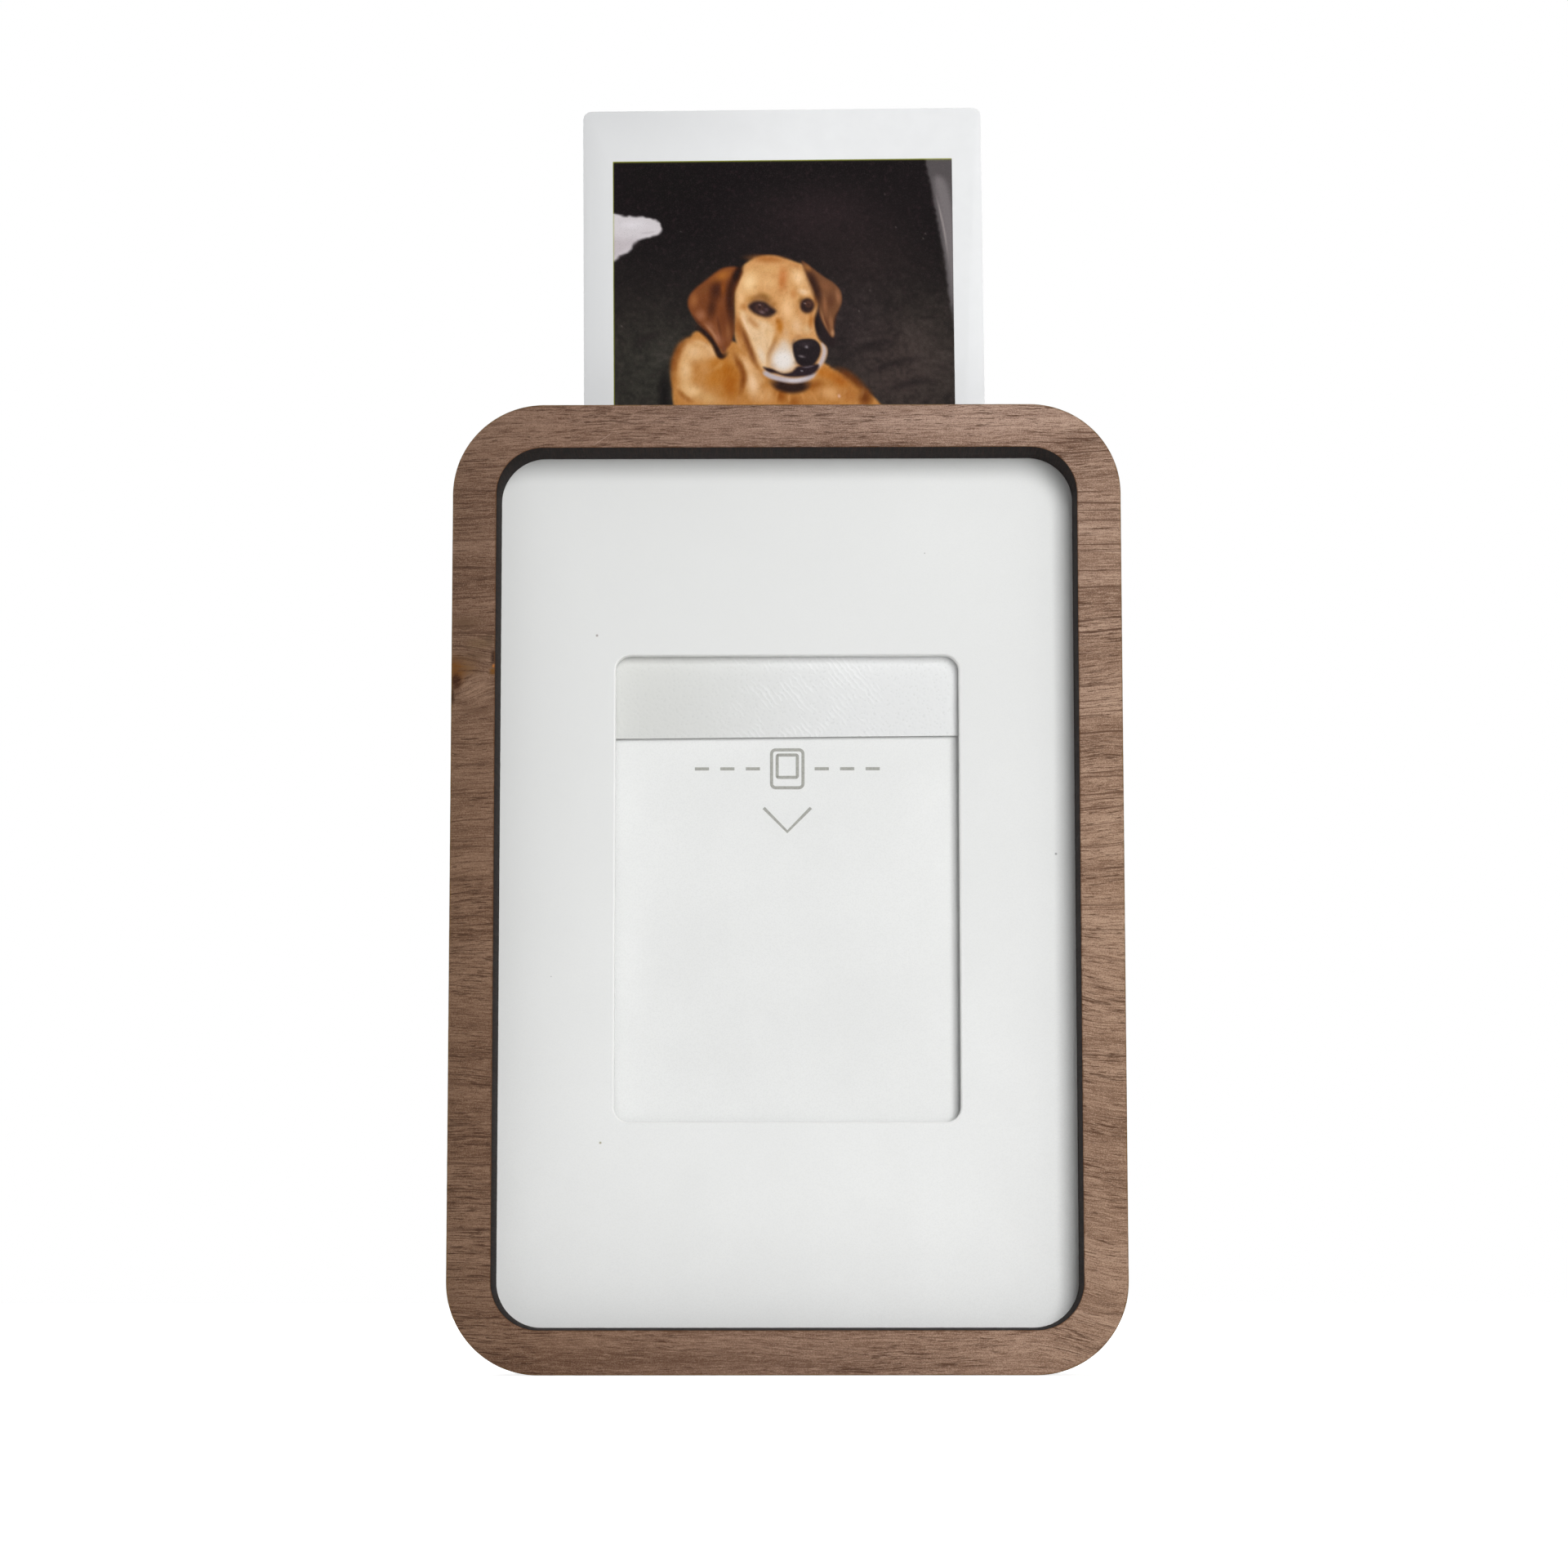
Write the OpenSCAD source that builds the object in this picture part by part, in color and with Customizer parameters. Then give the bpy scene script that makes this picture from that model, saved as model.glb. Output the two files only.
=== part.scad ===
// Pop-up picture frame: a walnut ring on a white box, with a spring lift that raises an instant print
// out of a slot in the top. The frame stands on its base, and the front faces -Y.
// It is drawn in its stored state: the lift is up and the print stands out of the slot.

/* [Walnut ring] */
// Width of the ring and of the whole frame
ring_w = 88.4; // [87:0.2:96]
// Height of the ring and of the whole frame
ring_h = 127.6; // [126:0.2:136]
// Thickness of the walnut board
ring_t = 6.35; // [4:0.05:9]
// Width of the rail all round
rail_w = 5.8; // [4.5:0.1:6.6]
// Radius of the outer corners
corner_r = 12; // [10:0.5:15]
// Thickness of the adhesive tape that holds the ring
tape_t = 0.2; // [0.1:0.05:0.5]
// How far the tape stays back from both edges of the rail
tape_back = 0.6; // [0.3:0.1:1.2]

/* [Front shell] */
// Thickness of the front plate
plate_t = 1.8; // [1.6:0.1:2.6]
// Thickness of the side walls
wall_t = 2; // [1.6:0.1:2.4]
// How far each side of the window laps over the picture
window_lap = 0.15; // [0:0.05:0.6]
// Gap between the picture and each end of the window
window_gap = 0.05; // [0:0.05:0.4]
// Radius of the window's corners
window_r = 2; // [1:0.1:4]
// Height of the window's lower edge above the base
window_z = 32.9; // [31.5:0.1:34.5]
// Radius of the soft edge round the window
window_edge_r = 0.3; // [0.2:0.05:0.8]
// Outer diameter of the corner bosses
boss_d = 6; // [5.4:0.2:7]
// Free depth behind the chassis, where the lift runs
lift_room = 9.25; // [9.05:0.05:11]

/* [Instant print] */
// Distance from each side of the frame to the print
print_margin = 17.2; // [16.8:0.1:18]
// Height of the print
print_h = 86; // [82:0.5:90]
// Radius of the print's corners
print_r = 1.2; // [0.5:0.1:2.5]
// Width of the border on each side of the picture
side_border = 4; // [3:0.1:5]
// Height of the border above the picture
head_border = 7; // [5:0.1:9]
// Height of the wide border under the picture
foot_border = 17; // [15:0.1:18]
// Thickness of the print's black back sheet
back_sheet_t = 0.2; // [0.15:0.01:0.3]
// Thickness of the white border sheet
border_sheet_t = 0.3; // [0.2:0.01:0.4]
// How far the picture film lies below the white border
picture_sink = 0.05; // [0.02:0.01:0.1]
// How far the print leans to the left in its slot, in degrees
print_lean = 0.45; // [0.2:0.05:0.6]

/* [Print channel] */
// Gap on each side of the print, across its thickness
channel_play = 0.25; // [0.15:0.05:0.4]
// Gap beside each edge of the print
side_play = 1; // [0.9:0.05:1.4]
// Height of the closed foot of the channel
channel_foot = 9; // [6:0.5:10.5]

/* [Lift] */
// How far the raised print still reaches into the slot
print_held = 43.4; // [42:0.1:48]
// Thickness of the chassis plate, which closes the back of the channel
chassis_t = 1.6; // [1.4:0.1:2.2]
// Free gap between the chassis and the side walls
chassis_gap = 3; // [2.6:0.1:3.2]
// Thickness of the carrier's plate
carrier_t = 2; // [1.6:0.1:2.1]
// Height of the carrier's plate
carrier_h = 21; // [19:0.5:23]
// Running gap between the carrier and the chassis
carrier_gap = 0.3; // [0.2:0.05:0.4]
// Width of each ledge that the print stands on
ledge_w = 2.4; // [1.8:0.1:2.6]
// Height of each ledge
ledge_h = 2.5; // [1.8:0.1:3.5]
// How far a ledge lies inside the print's edge
ledge_inset = 0.6; // [0.4:0.1:0.7]
// Width of the hubs and of the rod brackets
hub_w = 5.4; // [5:0.1:5.8]
// Height of the hubs that run on the rods
hub_h = 14; // [10:0.5:16]
// Diameter of the guide rods
rod_d = 2; // [1.6:0.1:2.4]
// Height of the brackets that hold the rods
bracket_h = 4; // [3:0.5:5]
// Height of the lower brackets above the shell's floor
bracket_lift = 1.5; // [1.2:0.1:2.5]
// Diameter of the lift springs' wire
spring_wire = 0.2; // [0.15:0.05:0.3]
// Outer diameter of the lift springs
spring_d = 5; // [4.2:0.1:5.2]
// Turns of each lift spring
spring_turns = 22; // [16:1:24]
// Thickness of the rubber stop washers
washer_t = 1.2; // [0.8:0.1:2]

/* [Rear cover] */
// Thickness of the rear cover
cover_t = 1.8; // [1.6:0.1:2.4]
// Depth of the lip that locates the cover in the shell, and of the pads under its screws
lip_h = 1.2; // [0.8:0.1:2]
// Thickness of that lip
lip_t = 1.2; // [0.8:0.1:1.6]

/* [Thumb tab] */
// Width of the tab
tab_w = 16; // [12:0.5:20]
// Height of the tab
tab_h = 11; // [9:0.5:14]
// Thickness of the tab
tab_t = 3.5; // [3:0.1:5]
// Width of the stem that carries the tab through the cover
stem_w = 5; // [4.6:0.1:6]
// Height of that stem
stem_h = 8; // [6:0.5:9]

/* [Latch and button] */
// Distance of the latch from the middle of the frame
latch_x = 14; // [12:0.5:16]
// Width of each arm of the latch lever
latch_arm_w = 5; // [4.4:0.2:5.6]
// Distance from the latch's pin down to its hook
latch_arm = 20; // [17:0.5:22]
// Distance from the latch's pin up to the button's middle
button_arm = 12.5; // [11:0.5:14]
// Diameter of the latch's pin
pin_d = 1.6; // [1.2:0.1:1.8]
// Thickness of the latch's arms
latch_t = 2.2; // [1.8:0.1:2.3]
// Diameter of the button
button_d = 7.6; // [6:0.2:9]
// Travel of the button
button_travel = 1.3; // [1.2:0.05:1.4]
// How far the pressed button still stands out of the cover
button_rest = 0.5; // [0.2:0.1:1.5]

/* [Screws] */
// Diameter of the cover screws
screw_d = 2.5; // [2:0.1:2.8]
// Length of the cover screws under the head
screw_l = 9; // [7:0.5:10]
// Diameter of the cover screws' heads
screw_head_d = 4.6; // [4:0.1:5]
// Height of the cover screws' heads
screw_head_h = 1.5; // [1.1:0.1:1.8]
// Diameter of the small screws in the chassis and the tab
small_screw_d = 2; // [1.6:0.1:2.2]
// Diameter of their heads
small_head_d = 3.8; // [3.2:0.1:4]
// Height of their heads
small_head_h = 1.2; // [0.8:0.1:1.4]
// Length of the chassis screws under the head
chassis_screw_l = 3.6; // [2.8:0.1:3.8]
// Length of the tab screw under the head
tab_screw_l = 8; // [6:0.5:9]

/* [Hidden] */
$fn = 48;

// Overrun of every cut past the face that it opens
cut = 1;
// Depth that joined solids share
fuse = 0.2;
// Slack round a screw's thread, and in the seats of the rods and of the latch's pin
seat_play = 0.03;
// Running slack of the hubs on the rods and of the latch on its pin
run_play = 0.08;
// Slack of the ledges, the stem, the button and the latch's arms beside their neighbours
slot_play = 0.3;
// Slack between the cover's lip and the shell
lip_play = 0.2;
// Slack round a screw's head in its counterbore, and round its shank in the piece that it clamps
head_play = 0.2;
// Free depth of a screw's hole past the tip
tip_play = 0.8;
// Gap at each end of a spring
spring_end_gap = 0.1;

// Print and window, from the size of the frame
print_w = ring_w - 2 * print_margin;
picture_w = print_w - 2 * side_border;
picture_h = print_h - foot_border - head_border;
window_w = picture_w - 2 * window_lap;
window_h = picture_h + 2 * window_gap;

// Stations along the depth, counted from the front of the ring
shell_front = ring_t + tape_t;
channel_front = shell_front + plate_t;
print_front = channel_front + channel_play;
print_split = print_front + border_sheet_t;
print_back = print_split + back_sheet_t;
chassis_front = print_back + channel_play;
chassis_back = chassis_front + chassis_t;
carrier_front = chassis_back + carrier_gap;
carrier_back = carrier_front + carrier_t;
rod_depth = carrier_front + hub_w / 2;
cover_front = chassis_back + lift_room;
cover_back = cover_front + cover_t;
tab_front = cover_back + slot_play;
tab_back = tab_front + tab_t;
front_y = -tab_back / 2;

// Print channel and ledges: the picture fills the window when the lift is down
channel_w = print_w + 2 * side_play;
print_foot_z = ring_h - print_held;
pop_travel = print_foot_z - (window_z - foot_border);
ledge_x = print_w / 2 - ledge_inset;
ledge_top = print_foot_z - ledge_x * sin(print_lean);
ledge_bottom = ledge_top - ledge_h;

// Carrier, rods and springs
carrier_top = ledge_bottom + carrier_h;
hub_bottom = carrier_top - hub_h;
rod_x = channel_w / 2 + slot_play + hub_w / 2;
carrier_w = 2 * rod_x + hub_w;
low_bracket_z = wall_t + bracket_lift;
spring_foot_z = low_bracket_z + bracket_h;
top_bracket_z = carrier_top + washer_t;
// Wall of a bracket behind its rod
bracket_wall = 1.6;
bracket_back = rod_depth + rod_d / 2 + bracket_wall;
// Floor under the rods in the lower brackets
rod_floor = 0.8;
rod_foot_z = low_bracket_z + rod_floor;
rod_head_z = top_bracket_z + bracket_h;
// Slack of the stop washers on the rods
washer_play = 0.1;

// Shell and chassis
shell_in_w = ring_w - 2 * wall_t;
shell_in_r = corner_r - wall_t;
// Gap between the ends of the chassis and the shell
chassis_end_gap = 0.3;
chassis_w = shell_in_w - 2 * chassis_gap;
chassis_z = wall_t + chassis_end_gap;
// Depth that the corner bosses share with the corner of the wall
boss_fuse = 0.4;
boss_off = (shell_in_r - boss_d / 2 + boss_fuse) / sqrt(2);
boss_x = ring_w / 2 - corner_r + boss_off;
boss_z = corner_r - boss_off;
// Gap round a boss where it passes the chassis
boss_play = 0.4;
// Skin of the front plate in front of the chassis screws
front_skin = 0.4;
// Gap between the hubs and the heads of the chassis screws
head_gap = 0.5;
chassis_screw_x = rod_x + hub_w / 2 + head_gap + small_head_d / 2;
// Heights of the chassis screws, as shares of the frame's height
chassis_screw_z_shares = [0.2, 0.8];

// Heads of the screws: depth, length and width of the cross recess, as shares of the head
recess_depth_share = 0.6;
recess_length_share = 0.62;
recess_width_share = 0.16;
counterbore_floor = cover_back - screw_head_h;
cover_screw_tip = counterbore_floor - screw_l;

// Stem and tab
stem_z = ledge_bottom + carrier_h / 2;
stem_slot_foot = stem_z - pop_travel - stem_h / 2 - slot_play;
stem_slot_h = pop_travel + stem_h + 2 * slot_play;
tab_screw_seat = tab_back - small_head_h;
tab_screw_tip = tab_screw_seat - tab_screw_l;
tab_r = 2.5;
// Grip grooves: their count, width, depth and pitch, and the margin at their ends
groove_count = 4;
groove_w = 0.9;
groove_d = 0.5;
groove_pitch = 1.8;
groove_margin = 1;
groove_in = small_head_d / 2 + head_play + groove_margin;
groove_l = tab_w / 2 - groove_margin - groove_in;

// Latch: one arm carries the hook, the other takes the button, and both share a hub on the pin
hook_x = latch_x - slot_play - latch_arm_w / 2;
push_x = latch_x + slot_play + latch_arm_w / 2;
tooth_w = latch_arm_w - 2 * slot_play;
tooth_d = 1.8;
tooth_flat = 0.8;
tooth_out = carrier_back + tooth_d;
hook_h = 3;
hook_tip = carrier_back + slot_play;
hook_z = ledge_top - pop_travel + slot_play;
latch_front = tooth_out + slot_play;
latch_back = latch_front + latch_t;
pin_wall = 1.1;
latch_hub_r = pin_d / 2 + pin_wall;
// How far the hub stays behind the front of the arms
hub_back = 0.1;
pin_depth = latch_front + hub_back + latch_hub_r;
pin_z = hook_z + latch_arm;
ear_w = 2;
ear_gap = 0.2;
ear_r = latch_hub_r - ear_gap;
latch_low_x = hook_x - latch_arm_w / 2;
latch_high_x = push_x + latch_arm_w / 2;

// Button: a flange keeps it in the cover, and a round nose meets the latch
button_z = pin_z + button_arm;
push_over = 3;
flange_t = 0.8;
flange_rim = 1;
flange_gap = 0.1;
nose_r = 1.6;
nose_gap = 0.1;

// Return spring of the latch, on a post of the cover
return_wire = 0.3;
return_d = 3;
return_turns = 3;
return_z = hook_z + hook_h + return_d / 2;
post_l = 0.8;
post_play = 0.2;

// Rings and sides of a spring's wire, in each turn and in each ring
spring_rings = 8;
spring_sides = 6;

// One ring of points round the wire of a spring that climbs by rise in each turn
function spring_ring(coil_r, wire_r, rise, i) =
    let (
        a = 360 * i / spring_rings,
        climb = atan(rise / (2 * PI * coil_r))
    )
    [
        for (k = [0:spring_sides - 1])
            let (
                b = 360 * k / spring_sides,
                out = coil_r + wire_r * cos(b),
                side = -wire_r * sin(b) * sin(climb),
                up = wire_r * sin(b) * cos(climb)
            )
            [out * cos(a) - side * sin(a), out * sin(a) + side * cos(a), rise * i / spring_rings + up]
    ];

// Two end caps, and two triangles on each side of each ring
function spring_faces(count) =
    concat(
        [for (k = [1:spring_sides - 2]) [0, k, k + 1]],
        [for (k = [1:spring_sides - 2]) [for (v = [0, k + 1, k]) count * spring_sides + v]],
        [
            for (i = [0:count - 1], k = [0:spring_sides - 1])
                let (
                    a = i * spring_sides + k,
                    b = i * spring_sides + (k + 1) % spring_sides
                )
                each [[a, b + spring_sides, b], [a, a + spring_sides, b + spring_sides]]
        ]
    );

// Least gap between neighbouring turns, over points that are one turn apart
function turn_gap(points) =
    let (turn = spring_rings * spring_sides)
    min([
        for (i = [0:len(points) - turn - 1], k = [0:spring_sides - 1])
            norm(points[i - i % spring_sides + turn + k] - points[i])
    ]);

// A compression spring along Z, of round wire, from zero to its length
module coil_spring(outer_d, wire_d, turns, length) {
    coil_r = (outer_d - wire_d) / 2;
    rise = (length - wire_d) / turns;
    count = turns * spring_rings;
    points = [for (i = [0:count]) each spring_ring(coil_r, wire_d / 2, rise, i)];
    echo(gap_between_turns = turn_gap(points));
    translate([0, 0, wire_d / 2])
        polyhedron(points = points, faces = spring_faces(count));
}

// A rectangle with round corners, standing on the base line and centred across
module round_rect(w, h, r) {
    translate([-w / 2, r]) square([w, h - 2 * r]);
    translate([-w / 2 + r, 0]) square([w - 2 * r, h]);
    for (x = [-w / 2 + r, w / 2 - r], z = [r, h - r])
        translate([x, z]) circle(r);
}

// Extrudes an outline drawn across and up, from one depth station to another
module slab(from, to) {
    translate([0, front_y + to, 0])
        rotate([90, 0, 0])
            linear_extrude(to - from)
                children();
}

// Extrudes an outline drawn in depth and height, across the frame
module bar(from_x, to_x) {
    translate([from_x, front_y, 0])
        rotate([90, 0, 90])
            linear_extrude(to_x - from_x)
                children();
}

// A block between two depth stations, by its low corner and its size
module block(x, z, w, h, from, to) {
    translate([x, front_y + from, z])
        cube([w, to - from, h]);
}

// A round pin or hole along the depth
module peg(x, z, d, from, to) {
    translate([x, front_y + to, z])
        rotate([90, 0, 0])
            cylinder(d = d, h = to - from);
}

// A round pin or hole across the frame
module cross_peg(from_x, to_x, depth, z, d) {
    translate([from_x, front_y + depth, z])
        rotate([0, 90, 0])
            cylinder(d = d, h = to_x - from_x);
}

module both_sides() {
    children();
    mirror([1, 0, 0]) children();
}

module at_corners() {
    for (x = [-boss_x, boss_x], z = [boss_z, ring_h - boss_z])
        translate([x, 0, z]) children();
}

module at_chassis_screws() {
    for (x = [-chassis_screw_x, chassis_screw_x], share = chassis_screw_z_shares)
        translate([x, 0, share * ring_h]) children();
}

module at_rods() {
    for (x = [-rod_x, rod_x])
        translate([x, front_y + rod_depth, 0]) children();
}

// A screw whose head faces the back, with a cross recess
module screw(seat, head_d, head_h, d, l) {
    recess_l = head_d * recess_length_share;
    recess_w = head_d * recess_width_share;
    recess_floor = seat + head_h * (1 - recess_depth_share);
    difference() {
        union() {
            peg(0, 0, head_d, seat, seat + head_h);
            peg(0, 0, d, seat - l, seat + fuse);
        }
        block(-recess_l / 2, -recess_w / 2, recess_l, recess_w, recess_floor, seat + head_h + cut);
        block(-recess_w / 2, -recess_l / 2, recess_w, recess_l, recess_floor, seat + head_h + cut);
    }
}

module front_ring() {
    color("saddlebrown")
        slab(0, ring_t)
            difference() {
                round_rect(ring_w, ring_h, corner_r);
                translate([0, rail_w])
                    round_rect(ring_w - 2 * rail_w, ring_h - 2 * rail_w, corner_r - rail_w);
            }
}

module ring_tape() {
    inner = rail_w - tape_back;
    color("dimgray")
        slab(ring_t, shell_front)
            difference() {
                translate([0, tape_back])
                    round_rect(ring_w - 2 * tape_back, ring_h - 2 * tape_back, corner_r - tape_back);
                translate([0, inner])
                    round_rect(ring_w - 2 * inner, ring_h - 2 * inner, corner_r - inner);
            }
}

// What a quarter round takes off the window's edge, outwards and in depth
module soft_edge() {
    difference() {
        translate([-window_r, -cut]) square([window_r + window_edge_r, window_edge_r + cut]);
        translate([window_edge_r, window_edge_r]) circle(window_edge_r);
    }
}

module window_cut() {
    straight_w = window_w - 2 * window_r;
    straight_h = window_h - 2 * window_r;
    translate([0, 0, window_z])
        slab(shell_front - cut, channel_front + cut)
            round_rect(window_w, window_h, window_r);
    translate([0, front_y + shell_front, window_z + window_h / 2]) {
        both_sides()
            translate([window_w / 2, 0, -straight_h / 2])
                linear_extrude(straight_h)
                    soft_edge();
        for (turn = [-90, 90])
            rotate([0, turn, 0])
                translate([window_h / 2, 0, -straight_w / 2])
                    linear_extrude(straight_w)
                        soft_edge();
        for (x = [-straight_w / 2, straight_w / 2], z = [-straight_h / 2, straight_h / 2])
            translate([x, 0, z])
                rotate([-90, 0, 0])
                    rotate_extrude()
                        translate([window_r, 0]) soft_edge();
    }
}

module front_shell() {
    color("white")
        difference() {
            union() {
                difference() {
                    slab(shell_front, cover_front)
                        round_rect(ring_w, ring_h, corner_r);
                    translate([0, 0, wall_t])
                        slab(chassis_front, cover_front + cut)
                            round_rect(shell_in_w, ring_h - 2 * wall_t, shell_in_r);
                }
                at_corners()
                    peg(0, 0, boss_d, chassis_front - fuse, cover_front - lip_h);
            }
            // Channel that the print slides in, open at the top
            block(-channel_w / 2, channel_foot, channel_w, ring_h, channel_front, chassis_front);
            window_cut();
            at_corners()
                peg(0, 0, screw_d + 2 * seat_play, cover_screw_tip - tip_play, cover_front);
            at_chassis_screws()
                peg(0, 0, small_screw_d + 2 * seat_play, shell_front + front_skin, chassis_front + cut);
        }
}

module lift_chassis() {
    ledge_slot_w = ledge_w + 2 * slot_play;
    ledge_slot_z = ledge_bottom - pop_travel - slot_play;
    ledge_slot_h = pop_travel + ledge_h + 2 * slot_play;
    color("whitesmoke")
        difference() {
            union() {
                translate([0, 0, chassis_z])
                    slab(chassis_front, chassis_back)
                        round_rect(chassis_w, ring_h - 2 * chassis_z, shell_in_r - chassis_end_gap);
                for (x = [-rod_x, rod_x], z = [low_bracket_z, top_bracket_z])
                    block(x - hub_w / 2, z, hub_w, bracket_h, chassis_front, bracket_back);
            }
            both_sides()
                block(
                    ledge_x + slot_play - ledge_slot_w, ledge_slot_z,
                    ledge_slot_w, ledge_slot_h, chassis_front - cut, chassis_back + cut
                );
            at_rods()
                translate([0, 0, rod_foot_z])
                    cylinder(d = rod_d + 2 * seat_play, h = ring_h);
            at_chassis_screws()
                peg(0, 0, small_screw_d + 2 * seat_play, chassis_front - cut, chassis_back + cut);
            at_corners()
                peg(0, 0, boss_d + 2 * boss_play, chassis_front - cut, chassis_back + cut);
        }
}

module chassis_screws() {
    color("silver")
        at_chassis_screws()
            screw(chassis_back, small_head_d, small_head_h, small_screw_d, chassis_screw_l);
}

module guide_rod(side) {
    color("silver")
        translate([side * rod_x, front_y + rod_depth, rod_foot_z])
            cylinder(d = rod_d, h = rod_head_z - rod_foot_z);
}

module lift_spring(side) {
    length = hub_bottom - spring_foot_z - 2 * spring_end_gap;
    color("gray")
        translate([side * rod_x, front_y + rod_depth, spring_foot_z + spring_end_gap])
            coil_spring(spring_d, spring_wire, spring_turns, length);
}

module stop_washers() {
    color("black")
        at_rods()
            translate([0, 0, carrier_top])
                difference() {
                    cylinder(d = hub_w, h = washer_t);
                    translate([0, 0, -cut])
                        cylinder(d = rod_d + 2 * washer_play, h = washer_t + 2 * cut);
                }
}

// Two ears on the inside of the cover, which hold the latch's pin
module latch_ears() {
    for (x = [latch_low_x - ear_gap - ear_w, latch_high_x + ear_gap])
        difference() {
            union() {
                cross_peg(x, x + ear_w, pin_depth, pin_z, 2 * ear_r);
                block(x, pin_z - ear_r, ear_w, 2 * ear_r, pin_depth, cover_front + fuse);
            }
            cross_peg(x - cut, x + ear_w + cut, pin_depth, pin_z, pin_d + 2 * seat_play);
        }
}

module rear_cover() {
    lip_w = shell_in_w - 2 * lip_play;
    lip_r = shell_in_r - lip_play;
    lip_z = wall_t + lip_play;
    lip_high = ring_h - 2 * lip_z;
    post_d = return_d - 2 * return_wire - 2 * post_play;
    color("white")
        difference() {
            union() {
                slab(cover_front, cover_back)
                    round_rect(ring_w, ring_h, corner_r);
                // The lip, with a pad at each corner screw
                slab(cover_front - lip_h, cover_front + fuse)
                    difference() {
                        translate([0, lip_z])
                            round_rect(lip_w, lip_high, lip_r);
                        difference() {
                            translate([0, lip_z + lip_t])
                                round_rect(lip_w - 2 * lip_t, lip_high - 2 * lip_t, lip_r - lip_t);
                            for (x = [-boss_x, boss_x], z = [boss_z, ring_h - boss_z])
                                translate([x, z]) circle(d = boss_d);
                        }
                    }
                latch_ears();
                peg(hook_x, return_z, post_d, cover_front - post_l, cover_front + fuse);
            }
            block(
                -stem_w / 2 - slot_play, stem_slot_foot,
                stem_w + 2 * slot_play, stem_slot_h, cover_front - cut, cover_back + cut
            );
            at_corners() {
                peg(0, 0, screw_head_d + 2 * head_play, counterbore_floor, cover_back + cut);
                peg(0, 0, screw_d + 2 * head_play, cover_front - lip_h - cut, cover_back);
            }
            peg(push_x, button_z, button_d + 2 * slot_play, cover_front - cut, cover_back + cut);
        }
}

module cover_screws() {
    color("silver")
        at_corners()
            screw(counterbore_floor, screw_head_d, screw_head_h, screw_d, screw_l);
}

module latch_pin() {
    reach = ear_gap + ear_w;
    color("silver")
        cross_peg(latch_low_x - reach, latch_high_x + reach, pin_depth, pin_z, pin_d);
}

module latch_spring() {
    length = cover_front - latch_back - 2 * spring_end_gap;
    color("gray")
        translate([hook_x, front_y + latch_back + spring_end_gap, return_z])
            rotate([-90, 0, 0])
                coil_spring(return_d, return_wire, return_turns, length);
}

module lift_carrier() {
    color("gainsboro")
        difference() {
            union() {
                block(-ledge_x, ledge_bottom, 2 * ledge_x, carrier_h, carrier_front, carrier_back);
                block(-carrier_w / 2, hub_bottom, carrier_w, hub_h, carrier_front, carrier_back);
                for (x = [-rod_x, rod_x])
                    block(x - hub_w / 2, hub_bottom, hub_w, hub_h, carrier_front, carrier_front + hub_w);
                both_sides()
                    block(ledge_x - ledge_w, ledge_bottom, ledge_w, ledge_h, print_front, carrier_back);
                block(-stem_w / 2, stem_z - stem_h / 2, stem_w, stem_h, carrier_front, tab_front);
                bar(hook_x - tooth_w / 2, hook_x + tooth_w / 2)
                    polygon([
                        [carrier_front, ledge_top],
                        [tooth_out, ledge_top],
                        [tooth_out, ledge_top - tooth_flat],
                        [carrier_back, ledge_bottom],
                        [carrier_front, ledge_bottom]
                    ]);
            }
            at_rods()
                translate([0, 0, hub_bottom - cut])
                    cylinder(d = rod_d + 2 * run_play, h = hub_h + 2 * cut);
            peg(0, stem_z, small_screw_d + 2 * seat_play, tab_screw_tip - tip_play, tab_front + cut);
        }
}

module thumb_tab() {
    color("white")
        difference() {
            translate([0, 0, stem_z - tab_h / 2])
                slab(tab_front, tab_back)
                    round_rect(tab_w, tab_h, tab_r);
            peg(0, stem_z, small_head_d + 2 * head_play, tab_screw_seat, tab_back + cut);
            peg(0, stem_z, small_screw_d + 2 * head_play, tab_front - cut, tab_back);
            both_sides()
                for (i = [0:groove_count - 1])
                    block(
                        groove_in, stem_z + (i - (groove_count - 1) / 2) * groove_pitch - groove_w / 2,
                        groove_l, groove_w, tab_back - groove_d, tab_back + cut
                    );
        }
}

module tab_screw() {
    color("silver")
        translate([0, 0, stem_z])
            screw(tab_screw_seat, small_head_d, small_head_h, small_screw_d, tab_screw_l);
}

// Stands a sheet of the print on the left ledge, leaning to the left
module on_left_ledge() {
    translate([-ledge_x, 0, ledge_top])
        rotate([0, -print_lean, 0])
            translate([ledge_x, 0, 0])
                children();
}

module picture_area() {
    translate([-picture_w / 2, foot_border]) square([picture_w, picture_h]);
}

module print_back_sheet() {
    color("black")
        on_left_ledge()
            slab(print_split, print_back)
                round_rect(print_w, print_h, print_r);
}

module print_border() {
    color("white")
        on_left_ledge()
            slab(print_front, print_split)
                difference() {
                    round_rect(print_w, print_h, print_r);
                    picture_area();
                }
}

module print_picture() {
    color("darkslategray")
        on_left_ledge()
            slab(print_front + picture_sink, print_split)
                picture_area();
}

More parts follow.
